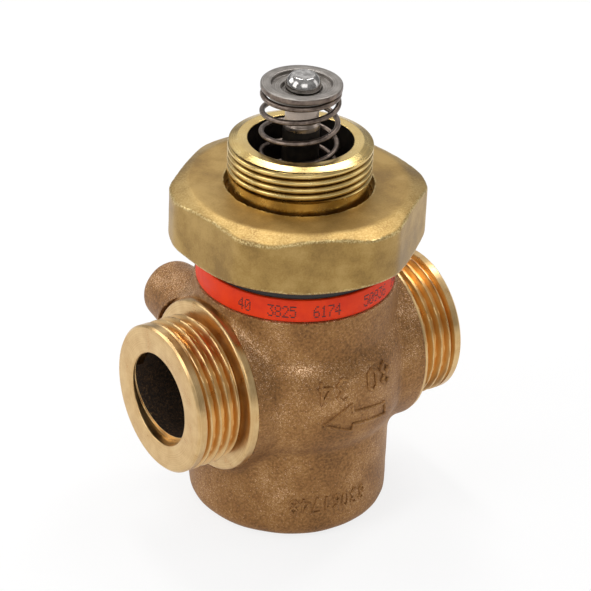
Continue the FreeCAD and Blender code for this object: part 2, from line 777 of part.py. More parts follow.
def makeSpringRetainer():
    """Disc on the stem's shoulder: raised rim, shallow recess, centring hub."""
    floor = f"{retainerTop} - Sizes.retainerRecessDepth"
    return turnedPiece("spring_retainer", [
        ("Sizes.stemSpigotRadius + Sizes.fitClearance", stemShoulder),
        (retainerHubRadius, stemShoulder),
        (retainerHubRadius, springTop),
        (retainerRadius, springTop),
        (retainerRadius, retainerTop),
        (retainerRecessRadius, retainerTop),
        (retainerRecessRadius, floor),
        ("Sizes.retainerPocketRadius", floor),
        ("Sizes.retainerPocketRadius", webTop),
        ("Sizes.stemSpigotRadius + Sizes.fitClearance", webTop),
    ])


def makeStem():
    """Stem with a threaded tail for the plug and a spigot for the head."""
    return turnedPiece("stem", [
        ("0", tailBottom),
        ("Sizes.stemTailRadius", tailBottom),
        ("Sizes.stemTailRadius", plugHubTop),
        ("Sizes.stemRadius", plugHubTop),
        ("Sizes.stemRadius", f"{stemStep} - Sizes.stemStepChamfer"),
        (stemUpperRadius, stemStep),
        (stemUpperRadius, stemShoulder),
        ("Sizes.stemSpigotRadius", stemShoulder),
        ("Sizes.stemSpigotRadius", f"{stemShoulder} + Sizes.stemSpigotLength"),
        ("0", f"{stemShoulder} + Sizes.stemSpigotLength"),
    ])


def makeStemHead():
    """Ball-shaped pressure piece screwed down over the retainer."""
    bore = "Sizes.stemSpigotRadius + Sizes.fitClearance"
    boreTop = f"{stemShoulder} + Sizes.stemSpigotLength + Sizes.fitClearance"
    top = f"{webTop} + Sizes.stemHeadHeight"
    body = turnedPiece("stem_head", [
        (bore, webTop),
        ("Sizes.stemHeadRadius", webTop),
        ("Sizes.stemHeadRadius", top),
        ("0", top),
        ("0", boreTop),
        (bore, boreTop),
    ])
    roundEdges(body, "crown", "Sizes.stemHeadRound", circleAt("Sizes.stemHeadRadius", top))
    return body


def makePlug():
    """Plug holder, soft ring, throttling cone and lock nut on the stem's tail."""
    tailHole = "Sizes.stemTailRadius + Sizes.fitClearance"
    spigot = "Sizes.softRingInnerRadius - Sizes.fitClearance"
    recess = "Sizes.softRingRadius + Sizes.fitClearance"
    holder = turnedPiece("plug_holder", [
        (tailHole, softRingBottom),
        (spigot, softRingBottom),
        (spigot, softRingTop),
        (recess, softRingTop),
        (recess, plugRimBottom),
        ("Sizes.plugRadius", plugRimBottom),
        ("Sizes.plugRadius", plugDiscTop),
        ("Sizes.plugHubRadius", plugDiscTop),
        ("Sizes.plugHubRadius", plugHubTop),
        (tailHole, plugHubTop),
    ])
    softRing = turnedPiece("plug_seal", [
        ("Sizes.softRingInnerRadius", softRingBottom),
        ("Sizes.softRingRadius", softRingBottom),
        ("Sizes.softRingRadius", softRingTop),
        ("Sizes.softRingInnerRadius", softRingTop),
    ])
    cone = turnedPiece("throttle_cone", [
        (tailHole, coneBottom),
        (coneTipRadius, coneBottom),
        (coneWaistRadius, f"({coneBottom} + {softRingBottom}) / 2"),
        (coneRadius, f"{softRingBottom} - Sizes.coneStraight"),
        (coneRadius, softRingBottom),
        (tailHole, softRingBottom),
    ])
    lockNut = newBody("plug_nut")
    hexPad(lockNut, "hexagon", "Sizes.lockNutAcrossFlats", lockNutBottom, "Sizes.lockNutHeight")
    doc.recompute()
    turnAway(lockNut, "bore", [
        ("0", lockNutBottom),
        (tailHole, lockNutBottom),
        (tailHole, f"{lockNutBottom} + Sizes.lockNutHeight"),
        ("0", f"{lockNutBottom} + Sizes.lockNutHeight"),
    ])
    return [holder, softRing, cone, lockNut]


def checkPieces(pieces):
    """Stop before anything is written if an object or a shape is unsound."""
    for thing in doc.Objects:
        if "Invalid" in thing.State or "Error" in thing.State:
            raise RuntimeError(f"{thing.Label} failed: {thing.State}")
    for piece in pieces:
        shape = piece.Shape
        if shape.isNull() or not shape.isValid() or len(shape.Solids) != 1:
            raise RuntimeError(f"{piece.Label} is not one sound solid")


fillSheet()
pieces = [makeValveBody()]
pieces += makeSeat()
pieces += [makeBand(), makeDustRing(), makeUnionNut()]
pieces += makeBonnet()
pieces += makeStemSeals()
pieces += makeGland()
pieces += [makeSpringWasher(), makeReturnSpring(), makeSpringRetainer()]
pieces += [makeStem(), makeStemHead()]
pieces += makePlug()
doc.recompute()
checkPieces(pieces)
for piece in pieces:
    piece.Shape.exportStep(f"parts/{piece.Label}.step")
print(len(pieces), "pieces written")
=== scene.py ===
import bpy
import bmesh
import math
import numpy as np
from mathutils import Matrix, Vector


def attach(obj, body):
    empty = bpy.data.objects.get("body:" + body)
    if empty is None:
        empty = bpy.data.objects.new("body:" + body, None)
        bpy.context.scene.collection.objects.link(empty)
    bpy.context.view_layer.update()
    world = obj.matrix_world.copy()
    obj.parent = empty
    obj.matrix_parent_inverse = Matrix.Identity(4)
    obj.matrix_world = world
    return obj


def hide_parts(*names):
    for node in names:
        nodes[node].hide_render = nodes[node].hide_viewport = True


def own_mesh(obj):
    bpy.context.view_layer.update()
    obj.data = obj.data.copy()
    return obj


# Two-port control valve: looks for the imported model. Lengths in the tables are millimetres.
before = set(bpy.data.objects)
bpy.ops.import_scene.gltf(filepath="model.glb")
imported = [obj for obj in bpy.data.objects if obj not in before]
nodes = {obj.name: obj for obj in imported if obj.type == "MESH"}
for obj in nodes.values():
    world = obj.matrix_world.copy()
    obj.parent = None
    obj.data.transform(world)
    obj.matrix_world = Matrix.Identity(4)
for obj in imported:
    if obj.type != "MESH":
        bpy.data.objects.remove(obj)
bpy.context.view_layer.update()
mm = 0.001
portHeight = 34.0
print("frame loaded,", len(nodes), "nodes")


def linear(code):
    parts = [int(code[i:i + 2], 16) / 255 for i in (1, 3, 5)]
    return [c / 12.92 if c <= 0.04045 else ((c + 0.055) / 1.055) ** 2.4 for c in parts] + [1]


def feed(tree, node, inputs):
    # Links what comes from another node and sets plain values on the socket itself.
    for key, value in inputs.items():
        if isinstance(value, bpy.types.NodeSocket):
            tree.links.new(value, node.inputs[key])
        else:
            node.inputs[key].default_value = value


def addNode(tree, kind, inputs=None, **settings):
    made = tree.nodes.new(kind)
    for name, value in settings.items():
        setattr(made, name, value)
    feed(tree, made, inputs or {})
    return made


def maths(tree, operation, *values, **settings):
    inputs = dict(enumerate(values))
    return addNode(tree, "ShaderNodeMath", inputs, operation=operation, **settings).outputs[0]


def ranged(tree, value, low, high, toLow=0.0, toHigh=1.0):
    return addNode(tree, "ShaderNodeMapRange", {
        "Value": value, "From Min": low, "From Max": high,
        "To Min": toLow, "To Max": toHigh}).outputs["Result"]


def noiseOf(tree, place, size, detail, roughness):
    # Noise whose features are about as wide as the given millimetres.
    return addNode(tree, "ShaderNodeTexNoise", {
        "Vector": place, "Scale": 1 / (size * mm), "Detail": detail,
        "Roughness": roughness}).outputs["Fac"]


def attributeOf(tree, name):
    return addNode(tree, "ShaderNodeAttribute", attribute_name=name).outputs["Fac"]


def blended(tree, share, first, second):
    return addNode(tree, "ShaderNodeMix", {"Factor": share, "A": first, "B": second},
                   data_type="RGBA").outputs["Result"]


def rampOf(tree, level, stops):
    ramp = addNode(tree, "ShaderNodeValToRGB", {"Fac": level})
    elements = ramp.color_ramp.elements
    while len(elements) < len(stops):
        elements.new(0.5)
    for element, (position, code) in zip(elements, stops):
        element.position = position
        element.color = linear(code)
    return ramp.outputs["Color"]


def newFinish(name):
    material = bpy.data.materials.new(name)
    material.use_nodes = True
    tree = material.node_tree
    place = addNode(tree, "ShaderNodeTexCoord").outputs["Object"]
    return material, tree, tree.nodes["Principled BSDF"], place


def dress(tree, shader, colour, roughness, metallic, relief, strength, depth):
    bump = addNode(tree, "ShaderNodeBump", {
        "Height": relief, "Strength": strength, "Distance": depth * mm})
    feed(tree, shader, {"Base Color": colour, "Roughness": roughness, "Metallic": metallic,
                        "Normal": bump.outputs["Normal"]})


# Finishes

castLook = {
    "stops": ((0.36, "#6C4B2A"), (0.47, "#8D6338"), (0.56, "#A07544"), (0.66, "#B68C5A")),
    "bare": "#E6BF98",
    "grain": 0.55,          # sand grain
    "spark": 0.22,          # bare metal on single grains
    "patch": 9.0,           # stains of the moulding skin
    "toneLevel": 0.05, "grainTone": 0.55, "patchTone": 0.35,
    "patchSpark": 0.45,     # how much the stains gather the sparks
    "paintedUpLight": 0.12,         # painted highlight: how many more bright grains the walls that look up get
    "bareAndLitFrom": 0.87, "bareAndLitTo": 1.0,
    "matt": 0.52, "bright": 0.3, "metallic": 0.7, "strength": 0.7, "depth": 0.10,
}


def makeCastFinish():
    # Red bronze cast in sand and shot-blasted: a matt brown skin with broad stains,
    # on which single grains shine like sparks where the blasting laid metal bare.
    # More of them on the walls that look up, and fewer on those that look down, is a painted
    # highlight for the overhead light.
    s = castLook
    material, tree, shader, place = newFinish("sandCastBronze")
    grain = noiseOf(tree, place, s["grain"], 4.0, 0.6)
    patch = noiseOf(tree, place, s["patch"], 3.0, 0.55)
    spark = noiseOf(tree, place, s["spark"], 2.0, 0.5)
    tone = maths(tree, "MULTIPLY_ADD", grain, s["grainTone"], s["toneLevel"])
    tone = maths(tree, "MULTIPLY_ADD", patch, s["patchTone"], tone)
    laidBare = maths(tree, "MULTIPLY_ADD", patch, s["patchSpark"], spark)
    # painted highlight: walls that look up get more bright grains, walls that look down fewer
    laidBare = maths(tree, "MULTIPLY_ADD", attributeOf(tree, "upward"), s["paintedUpLight"], laidBare)
    bare = ranged(tree, laidBare, s["bareAndLitFrom"], s["bareAndLitTo"])
    colour = blended(tree, bare, rampOf(tree, tone, s["stops"]), linear(s["bare"]))
    rough = ranged(tree, bare, 0.0, 1.0, s["matt"], s["bright"])
    dress(tree, shader, colour, rough, s["metallic"], grain, s["strength"], s["depth"])
    return material


boreLook = {
    "stops": ((0.40, "#1C130C"), (0.54, "#3A2919"), (0.66, "#5E452B"), (0.76, "#A98152")),
    "grain": 0.5, "roughness": 0.62, "metallic": 0.35, "strength": 0.8, "depth": 0.25,
}


def makeBoreFinish():
    # The same casting inside the passages, never blasted: almost black oxide with
    # a few bare grains.
    s = boreLook
    material, tree, shader, place = newFinish("castBore")
    grain = noiseOf(tree, place, s["grain"], 4.0, 0.7)
    dress(tree, shader, rampOf(tree, grain, s["stops"]), s["roughness"], s["metallic"],
          grain, s["strength"], s["depth"])
    return material


turnedLook = {"haze": 3.0, "toneFrom": 0.75, "toneTo": 1.25, "metallic": 1.0, "strength": 0.35}


def makeTurnedFinish(name, dark, light, roughness, axis, spacing, depth, root=None):
    # Metal as the lathe leaves it: fine rings round the axis that stretch the
    # highlights across them, with a slight change of tone from ring to ring. The roots
    # of a thread have a tone of their own: painted shade with some oil on the neck, dark, and a
    # painted warm reflection on the ports, glowing.
    s = turnedLook
    material, tree, shader, place = newFinish(name)
    split = addNode(tree, "ShaderNodeSeparateXYZ", {0: place}).outputs
    aside = split["X"]
    if axis == "X":
        aside = maths(tree, "SUBTRACT", split["Z"], portHeight * mm)
    flat = addNode(tree, "ShaderNodeCombineXYZ", {0: aside, 1: split["Y"]}).outputs[0]
    radius = addNode(tree, "ShaderNodeVectorMath", {0: flat}, operation="LENGTH").outputs["Value"]
    rings = addNode(tree, "ShaderNodeTexNoise", {
        "W": maths(tree, "ADD", radius, split[axis]), "Scale": 1 / (spacing * mm),
        "Detail": 2.0}, noise_dimensions="1D").outputs["Fac"]
    haze = noiseOf(tree, place, s["haze"], 3.0, 0.6)
    tone = ranged(tree, maths(tree, "ADD", rings, haze), s["toneFrom"], s["toneTo"])
    colour = blended(tree, tone, linear(dark), linear(light))
    if root:
        # painted light in the thread roots, laid over the ring tone by the groove depth
        held = maths(tree, "MULTIPLY", attributeOf(tree, "groove"), root[1], use_clamp=True)
        colour = blended(tree, held, colour, linear(root[0]))
    rough = ranged(tree, haze, 0.3, 0.7, roughness * 0.85, roughness * 1.2)
    dress(tree, shader, colour, rough, s["metallic"], rings, s["strength"], depth)
    return material


forgedLook = {
    "stops": ((0.50, "#8D7040"), (0.65, "#A2834B"), (0.80, "#B3945A")),
    "rubbed": "#E2CF97",
    "pebble": 0.4, "cloud": 9.0, "pebbleTone": 0.3,
    "breakGain": 4.0, "breakLevel": -1.6,       # how the pebbles break up the rubbed and painted-bright edges
    "matt": 0.44, "bright": 0.3, "metallic": 0.85, "strength": 0.6, "depth": 0.07,
}


def makeForgedFinish():
    # Hot-forged brass, pickled: an even olive yellow with a silky, slightly
    # pebbled skin, rubbed pale along the raised edges and the chamfer's rim, where a painted
    # highlight is laid as well.
    s = forgedLook
    material, tree, shader, place = newFinish("forgedBrass")
    skin = noiseOf(tree, place, s["pebble"], 3.0, 0.6)
    cloud = noiseOf(tree, place, s["cloud"], 3.0, 0.6)
    tone = maths(tree, "MULTIPLY_ADD", skin, s["pebbleTone"], cloud)
    broken = maths(tree, "MULTIPLY_ADD", skin, s["breakGain"], s["breakLevel"])
    # rubbed wear and a painted highlight along the raised edges and the chamfer's rim
    rubbed = maths(tree, "MULTIPLY", attributeOf(tree, "edge"), broken, use_clamp=True)
    colour = blended(tree, rubbed, rampOf(tree, tone, s["stops"]), linear(s["rubbed"]))
    rough = ranged(tree, rubbed, 0.0, 1.0, s["matt"], s["bright"])
    dress(tree, shader, colour, rough, s["metallic"], skin, s["strength"], s["depth"])
    return material


def makePlainFinish(name, dark, light, metallic, roughness, grain, depth, shine=0.5):
    # Skins without a direction, such as moulded rubber, printed ink or drawn wire:
    # one tone that clouds a little, over a faint unevenness.
    material, tree, shader, place = newFinish(name)
    cloud = noiseOf(tree, place, grain, 3.0, 0.6)
    colour = blended(tree, ranged(tree, cloud, 0.35, 0.65), linear(dark), linear(light))
    rough = ranged(tree, cloud, 0.3, 0.7, roughness * 0.9, roughness * 1.15)
    dress(tree, shader, colour, rough, metallic, cloud, 0.5, depth)
    shader.inputs["Specular IOR Level"].default_value = shine
    return material


castBronze = makeCastFinish()
castBore = makeBoreFinish()
forgedBrass = makeForgedFinish()
# The ports' thread roots get a painted warm reflection, glowing orange.
portBronze = makeTurnedFinish("turnedPortBronze", "#C39D69", "#DDBE8A", 0.31, "X", 0.15, 0.008,
                              ("#E2A556", 0.6))
# The neck's thread roots get painted shade with some oil, dark.
neckBrass = makeTurnedFinish("turnedNeckBrass", "#CFAF6C", "#E0C686", 0.24, "Z", 0.12, 0.008,
                             ("#4A2F12", 0.9))
# The stainless gets a warm tan tone: a painted reflection of the brass neck around it.
stainless = makeTurnedFinish("turnedStainless", "#8D8076", "#B8AA9E", 0.3, "Z", 0.1, 0.016)
discSteel = makeTurnedFinish("retainerSteel", "#79736D", "#A49E98", 0.38, "Z", 0.2, 0.012)
headSteel = makePlainFinish("polishedSteel", "#8F8C89", "#C4C1BE", 1.0, 0.16, 1.2, 0.05)
wireSteel = makePlainFinish("springWire", "#5C5049", "#8A7B70", 1.0, 0.34, 1.5, 0.01)
bandRed = makePlainFinish("redBandPlastic", "#DA3004", "#E63C0A", 0.0, 0.55, 3.0, 0.01, 0.25)
inkBlack = makePlainFinish("bandInk", "#1B1210", "#2A1A17", 0.0, 0.55, 0.3, 0.005)
rubberBlack = makePlainFinish("blackRubber", "#0E0D0D", "#1B1A19", 0.0, 0.5, 0.8, 0.01)
# Near black: grease, and painted shade deep in the cup and on the stem inside it.
cupBlack = makePlainFinish("greasedCup", "#0D0A08", "#231B12", 0.2, 0.4, 1.5, 0.02)
print("finishes made")


# Turned pieces

def roundedOutline(corners, bend):
    # Replaces every corner of a closed (radius, height) outline by a short arc.
    points = []
    for i, corner in enumerate(corners):
        here = Vector(corner[:2])
        size = corner[2] if len(corner) > 2 else bend
        before = Vector(corners[i - 1][:2]) - here
        after = Vector(corners[(i + 1) % len(corners)][:2]) - here
        size = min(size, before.length * 0.45, after.length * 0.45)
        if size < 1e-4:
            points.append(tuple(here))
            continue
        start = here + before.normalized() * size
        end = here + after.normalized() * size
        for t in (0.0, 0.33, 0.67, 1.0):
            points.append(tuple(start * (1 - t) ** 2 + here * 2 * t * (1 - t) + end * t ** 2))
    return points


def splitRows(points, step, low, high):
    # Adds rows where the section runs through the height range that gets a thread.
    rows = []
    for i, point in enumerate(points):
        after = points[(i + 1) % len(points)]
        rows.append(point)
        inBand = low <= min(point[1], after[1]) + 1e-6 and max(point[1], after[1]) - 1e-6 <= high
        length = math.dist(point, after)
        pieces = math.ceil(length / step) if inBand and abs(after[1] - point[1]) > step else 1
        for j in range(1, pieces):
            share = j / pieces
            rows.append(tuple(a + (b - a) * share for a, b in zip(point, after)))
    return rows


def meshOf(name, points, faces, edges=()):
    mesh = bpy.data.meshes.new(name)
    mesh.from_pydata((np.array(points) * mm).tolist(), edges, faces)
    return mesh


def turnedMesh(name, corners, steps, rows=None, bend=0.12):
    points = roundedOutline(corners, bend)
    if rows:
        points = splitRows(points, *rows)
    area = sum(a[0] * b[1] - b[0] * a[1] for a, b in zip(points, points[1:] + points[:1]))
    if area < 0:
        points.reverse()
    angles = np.arange(steps) * 2 * math.pi / steps
    section = np.array(points)
    verts = np.zeros((len(section), steps, 3))
    verts[:, :, 0] = section[:, :1] * np.cos(angles)
    verts[:, :, 1] = section[:, :1] * np.sin(angles)
    verts[:, :, 2] = section[:, 1:]
    i, j = np.meshgrid(np.arange(len(section)), np.arange(steps), indexing="ij")
    k, l = (i + 1) % len(section), (j + 1) % steps
    faces = np.stack([i * steps + j, i * steps + l, k * steps + l, k * steps + j], axis=-1)
    mesh = meshOf(name, verts.reshape(-1, 3), faces.reshape(-1, 4).tolist())
    if min(section[:, 0]) < 1e-6:
        shell = bmesh.new()
        shell.from_mesh(mesh)
        bmesh.ops.remove_doubles(shell, verts=shell.verts, dist=1e-7)
        shell.to_mesh(mesh)
        shell.free()
    return mesh


def placeMesh(mesh):
    piece = bpy.data.objects.new(mesh.name, mesh)
    bpy.context.scene.collection.objects.link(piece)
    return piece


def finishPiece(piece, body, slotName, *cadNodes):
    piece.data.shade_smooth()
    piece.data.set_sharp_from_angle(angle=math.radians(38))
    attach(piece, body)
    if cadNodes:
        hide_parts(*cadNodes)
    print(piece.name, len(piece.data.polygons), "faces")


def runTree(piece, tree, values):
    # Gives the tree its sizes by socket, then keeps its result as a plain mesh.
    modifier = piece.modifiers.new(tree.name, "NODES")
    modifier.node_group = tree
    for item in tree.interface.items_tree:
        if item.in_out == "INPUT" and item.name in values:
            modifier[item.identifier] = values[item.name]
    bpy.context.view_layer.update()
    ready = piece.evaluated_get(bpy.context.evaluated_depsgraph_get())
    mesh = bpy.data.meshes.new_from_object(ready)
    piece.modifiers.remove(modifier)
    piece.data = mesh
    return piece


def newTree(name, floats, wholes=()):
    tree = bpy.data.node_groups.new(name, "GeometryNodeTree")
    sockets = [("Geometry", "Geometry")] + [(label, "Float") for label in floats]
    sockets += [(label, "Int") for label in wholes] + [("Finish", "Material")]
    for label, kind in sockets:
        tree.interface.new_socket(name=label, in_out="INPUT", socket_type="NodeSocket" + kind)
    tree.interface.new_socket(name="Geometry", in_out="OUTPUT", socket_type="NodeSocketGeometry")
    return tree, addNode(tree, "NodeGroupInput").outputs


def closeTree(tree, geometry, finish):
    real = addNode(tree, "GeometryNodeRealizeInstances", {0: geometry}).outputs[0]
    dressed = addNode(tree, "GeometryNodeSetMaterial", {"Geometry": real, "Material": finish})
    addNode(tree, "NodeGroupOutput", {0: dressed.outputs[0]})
    return tree


def sweepRound(tree, curve, sides, radius, finish):
    ring = addNode(tree, "GeometryNodeCurvePrimitiveCircle", {
        "Resolution": sides, "Radius": radius})
    rod = addNode(tree, "GeometryNodeCurveToMesh", {
        "Curve": curve, "Profile Curve": ring.outputs[0], "Fill Caps": True})
    return closeTree(tree, rod.outputs[0], finish)


def makeThreadTree():
    # Sinks a right-handed thread groove into a turned blank along Z.
    tree, given = newTree("threadCutter", (
        "Crest", "Depth", "Pitch", "From", "To", "Root Share", "Groove Share", "Sharpness"))
    spot = addNode(tree, "GeometryNodeInputPosition").outputs[0]
    x, y, z = addNode(tree, "ShaderNodeSeparateXYZ", {0: spot}).outputs
    level = addNode(tree, "ShaderNodeCombineXYZ", {0: x, 1: y}).outputs[0]
    radius = addNode(tree, "ShaderNodeVectorMath", {0: level}, operation="LENGTH").outputs["Value"]
    turn = maths(tree, "DIVIDE", maths(tree, "ARCTAN2", y, x), 2 * math.pi)
    phase = maths(tree, "SUBTRACT", maths(tree, "DIVIDE", z, given["Pitch"]), turn)
    wide = maths(tree, "MULTIPLY_ADD", maths(tree, "FRACT", phase), 2.0, -1.0)
    slope = ranged(tree, maths(tree, "ABSOLUTE", wide),
                   given["Root Share"], given["Groove Share"], 1.0, 0.0)
    form = maths(tree, "POWER", slope, given["Sharpness"])
    runOut = 0.5 * mm
    fade = ranged(tree, maths(tree, "SUBTRACT", given["To"], z), 0.0, runOut)
    sunk = maths(tree, "MULTIPLY", form, maths(tree, "MULTIPLY", fade, given["Depth"]))
    wanted = maths(tree, "SUBTRACT", given["Crest"], sunk)
    ratio = maths(tree, "DIVIDE", maths(tree, "MINIMUM", radius, wanted), radius)
    shrunk = addNode(tree, "ShaderNodeVectorMath", {0: level, "Scale": ratio}, operation="SCALE")
    risen = addNode(tree, "ShaderNodeCombineXYZ", {2: z}).outputs[0]
    moved = addNode(tree, "ShaderNodeVectorMath", {0: shrunk.outputs[0], 1: risen},
                    operation="ADD").outputs[0]
    root = maths(tree, "SUBTRACT", given["Crest"], given["Depth"])
    outer = addNode(tree, "FunctionNodeCompare", {
        0: radius, 1: maths(tree, "SUBTRACT", root, 0.1 * mm)}, operation="GREATER_THAN").outputs[0]
    above = addNode(tree, "FunctionNodeCompare", {0: z, 1: given["From"]},
                    operation="GREATER_THAN").outputs[0]
    both = addNode(tree, "FunctionNodeBooleanMath", {0: outer, 1: above},
                   operation="AND").outputs[0]
    sunkPart = addNode(tree, "GeometryNodeSetPosition", {
        "Geometry": given["Geometry"], "Selection": both, "Position": moved}).outputs[0]
    marked = addNode(tree, "GeometryNodeStoreNamedAttribute", {
        "Geometry": sunkPart, "Selection": both, "Name": "groove",
        "Value": maths(tree, "MULTIPLY", form, fade)}, data_type="FLOAT", domain="POINT")
    return closeTree(tree, marked.outputs[0], given["Finish"])


threadCutter = makeThreadTree()


def cutThread(piece, s, crest, low, high, finish):
    return runTree(piece, threadCutter, {
        "Crest": crest * mm, "Depth": s["threadDepth"] * mm, "Pitch": s["pitch"] * mm,
        "From": low * mm, "To": high * mm, "Root Share": s["rootShare"],
        "Groove Share": s["grooveShare"], "Sharpness": s["sharpness"], "Finish": finish})


portSizes = {
    "boreRadius": 10.0, "mouthRadius": 10.5, "mouthDepth": 3.0, "mouthBend": 0.3,
    "entrySlant": 1.35, "entryReach": 0.5, "coreShift": 0.4, "skinStart": 0.2, "skinReach": 0.3,
    "collarRadius": 19.3, "collarEnd": 23.6, "reliefRadius": 15.0, "threadRoot": 24.9,
    "crestRadius": 16.62, "endChamfer": 0.5, "face": 35.0, "steps": 216,
    "threadDepth": 1.25, "pitch": 2.309, "rowsPerPitch": 22, "threadEnd": 33.0,
    "rootShare": 0.36, "grooveShare": 0.9, "sharpness": 1.15,
}


def makePort(name, castEnd, quarterTurn):
    s = portSizes
    step = s["face"] - s["mouthDepth"]
    corners = [
        (s["boreRadius"], castEnd, 0), (s["collarRadius"], castEnd, 0),
        (s["collarRadius"], s["collarEnd"], 0.7), (s["reliefRadius"], s["collarEnd"], 0.3),
        (s["reliefRadius"], s["threadRoot"], 0.2), (s["crestRadius"], s["threadRoot"], 0.1),
        (s["crestRadius"], s["face"] - s["endChamfer"], 0.05),
        (s["crestRadius"] - s["endChamfer"], s["face"], 0.15),
        (s["mouthRadius"], s["face"], s["mouthBend"]), (s["mouthRadius"], step, 0.1),
        (s["boreRadius"], step, 0.1),
    ]
    rows = (s["pitch"] / s["rowsPerPitch"], s["threadRoot"], s["face"])
    piece = placeMesh(turnedMesh(name, corners, s["steps"], rows))
    cutThread(piece, s, s["crestRadius"], s["threadRoot"] - 0.01, s["threadEnd"], portBronze)
    piece.data.materials.append(castBore)
    for face in piece.data.polygons:
        spot = face.center / mm
        inBore = spot.xy.length < s["boreRadius"] + s["skinReach"]
        face.material_index = int(inBore and spot.z < step - s["skinStart"])
    # the entry is cut askew and the cast bore behind it sits off centre
    lean = math.copysign(1, -quarterTurn)
    for vertex in piece.data.vertices:
        spot = vertex.co / mm
        radius = spot.xy.length
        depth = s["face"] - spot.z
        if radius < s["mouthRadius"] + 0.01 and s["mouthDepth"] - s["entryReach"] < depth:
            side = (lean * spot.x + spot.y) / math.sqrt(2) / radius
            if depth < s["mouthDepth"] + s["entryReach"]:
                slant = s["entrySlant"] * (1 + side)
                spot.z = min(spot.z + slant, s["face"] - s["mouthBend"])
            if radius < s["mouthRadius"] - 0.05:
                spot.x += lean * s["coreShift"]
                spot.y += s["coreShift"]
            vertex.co = spot * mm
    raised = Matrix.Translation((0, 0, portHeight * mm))
    piece.data.transform(raised @ Matrix.Rotation(quarterTurn, 4, "Y"))
    finishPiece(piece, "housing", "cast_bronze")


makePort("outletEnd", 21.6, -math.pi / 2)
makePort("inletEnd", 22.8, math.pi / 2)
print("ports turned")

neckSizes = {
    "cupRadius": 11.4, "cupFloor": 74.0, "lipBend": 0.2, "greaseAndShadeTop": 87.66,
    "threadRadius": 15.65, "top": 88.36, "chamferWidth": 2.1, "chamferHeight": 0.85,
    "undercutRadius": 15.2, "undercutTop": 80.8, "shoulder": 75.1,
    "flangeRadius": 19.6, "flangeBottom": 72.0, "skirtRadius": 16.8, "skirtBottom": 55.0,
    "skirtInner": 13.6, "underside": 62.0, "hubRadius": 8.5, "hubBottom": 48.3, "hubLip": 49.0,
    "stemHole": 4.3, "bushRadius": 5.5, "sealFloor": 59.0, "sealRadius": 6.5,
    "ringTop": 66.9, "ringBottom": 64.7, "ringRadius": 14.7, "steps": 240,
    "threadDepth": 0.8, "pitch": 1.65, "rowsPerPitch": 26, "runOut": 0.3,
    "rootShare": 0.08, "grooveShare": 1.0, "sharpness": 3.0,
}


def makeNeck():
    s = neckSizes
    corners = [
        (s["cupRadius"], s["top"], s["lipBend"]),
        (s["threadRadius"] - s["chamferWidth"], s["top"], 0.06),
        (s["threadRadius"], s["top"] - s["chamferHeight"], 0.1),
        (s["threadRadius"], s["undercutTop"], 0.15),
        (s["undercutRadius"], s["undercutTop"] - 0.3, 0.2), (s["undercutRadius"], s["shoulder"]),
        (s["flangeRadius"], s["shoulder"]), (s["flangeRadius"], s["flangeBottom"]),
        (s["skirtRadius"], s["flangeBottom"]), (s["skirtRadius"], s["ringTop"]),
        (s["ringRadius"], s["ringTop"]), (s["ringRadius"], s["ringBottom"]),
        (s["skirtRadius"], s["ringBottom"]), (s["skirtRadius"], s["skirtBottom"]),
        (s["skirtInner"], s["skirtBottom"]), (s["skirtInner"], s["underside"]),
        (s["hubRadius"], s["underside"]), (s["hubRadius"], s["hubBottom"]),
        (s["stemHole"], s["hubBottom"]), (s["stemHole"], s["hubLip"]),
        (s["bushRadius"], s["hubLip"]), (s["bushRadius"], s["sealFloor"]),
        (s["sealRadius"], s["sealFloor"]), (s["sealRadius"], s["cupFloor"]),
        (s["cupRadius"], s["cupFloor"]),
    ]
    rows = (s["pitch"] / s["rowsPerPitch"], s["undercutTop"] - 0.4, s["top"])
    piece = placeMesh(turnedMesh("neckInsert", corners, s["steps"], rows))
    low, high = s["undercutTop"] + 0.02, s["top"] - s["runOut"]
    cutThread(piece, s, s["threadRadius"], low, high, neckBrass)
    # Inside the cup the walls get the near-black finish: grease, and painted shade deep in the
    # recess.
    piece.data.materials.append(cupBlack)
    for face in piece.data.polygons:
        spot = face.center / mm
        inCup = s["cupFloor"] - 0.2 < spot.z < s["greaseAndShadeTop"]
        face.material_index = int(inCup and spot.xy.length < s["cupRadius"] + 0.2)
    finishPiece(piece, "housing", "turned_brass", "bonnet")


makeNeck()
print("neck turned")

# Outlines as (radius, height, corner bend) of the small turned pieces.
smallTurned = {
    "redBand": (bandRed, "housing", "red_band", "label_band", 160, [
        (21.05, 55.55), (21.8, 55.55, 0.25), (21.8, 60.85, 0.25), (21.05, 60.85)]),
    "dustRing": (rubberBlack, "housing", "black_rubber", "dust_ring", 128, [
        (20.55, 60.95), (21.4, 60.95, 0.3), (21.4, 64.2, 0.3), (20.55, 64.2)]),
    "retainerDisc": (discSteel, "stem_unit", "retainer_steel", "spring_retainer", 128, [
        (2.05, 98.0), (6.9, 98.0, 0.4), (6.9, 100.2, 0.1), (8.78, 100.2, 0.25),
        (8.78, 101.44, 0.32), (6.46, 101.44, 0.3), (6.46, 100.45, 0.2), (4.35, 100.45, 0.3),
        (4.35, 99.4, 0.1), (2.05, 99.4)]),
    "stemRod": (stainless, "stem_unit", "stainless", "stem", 96, [
        (0, 28.86, 0), (2.5, 28.86, 0.3), (2.5, 48.0), (4.0, 48.0, 0.3), (4.0, 91.3, 0),
        (4.0, 92.3, 0.12), (3.63, 92.8, 0.12), (3.63, 98.0), (2.0, 98.0), (2.0, 102.4, 0.3),
        (0, 102.4, 0)]),
    "stemHead": (headSteel, "stem_unit", "polished_steel", "stem_head", 96, [
        (2.05, 99.45), (3.7, 99.45, 0.2), (3.98, 101.0, 0.8), (3.45, 102.5, 0.7),
        (2.6, 103.4, 0.35), (0, 103.4, 0), (0, 102.45, 0), (2.05, 102.45)]),
}

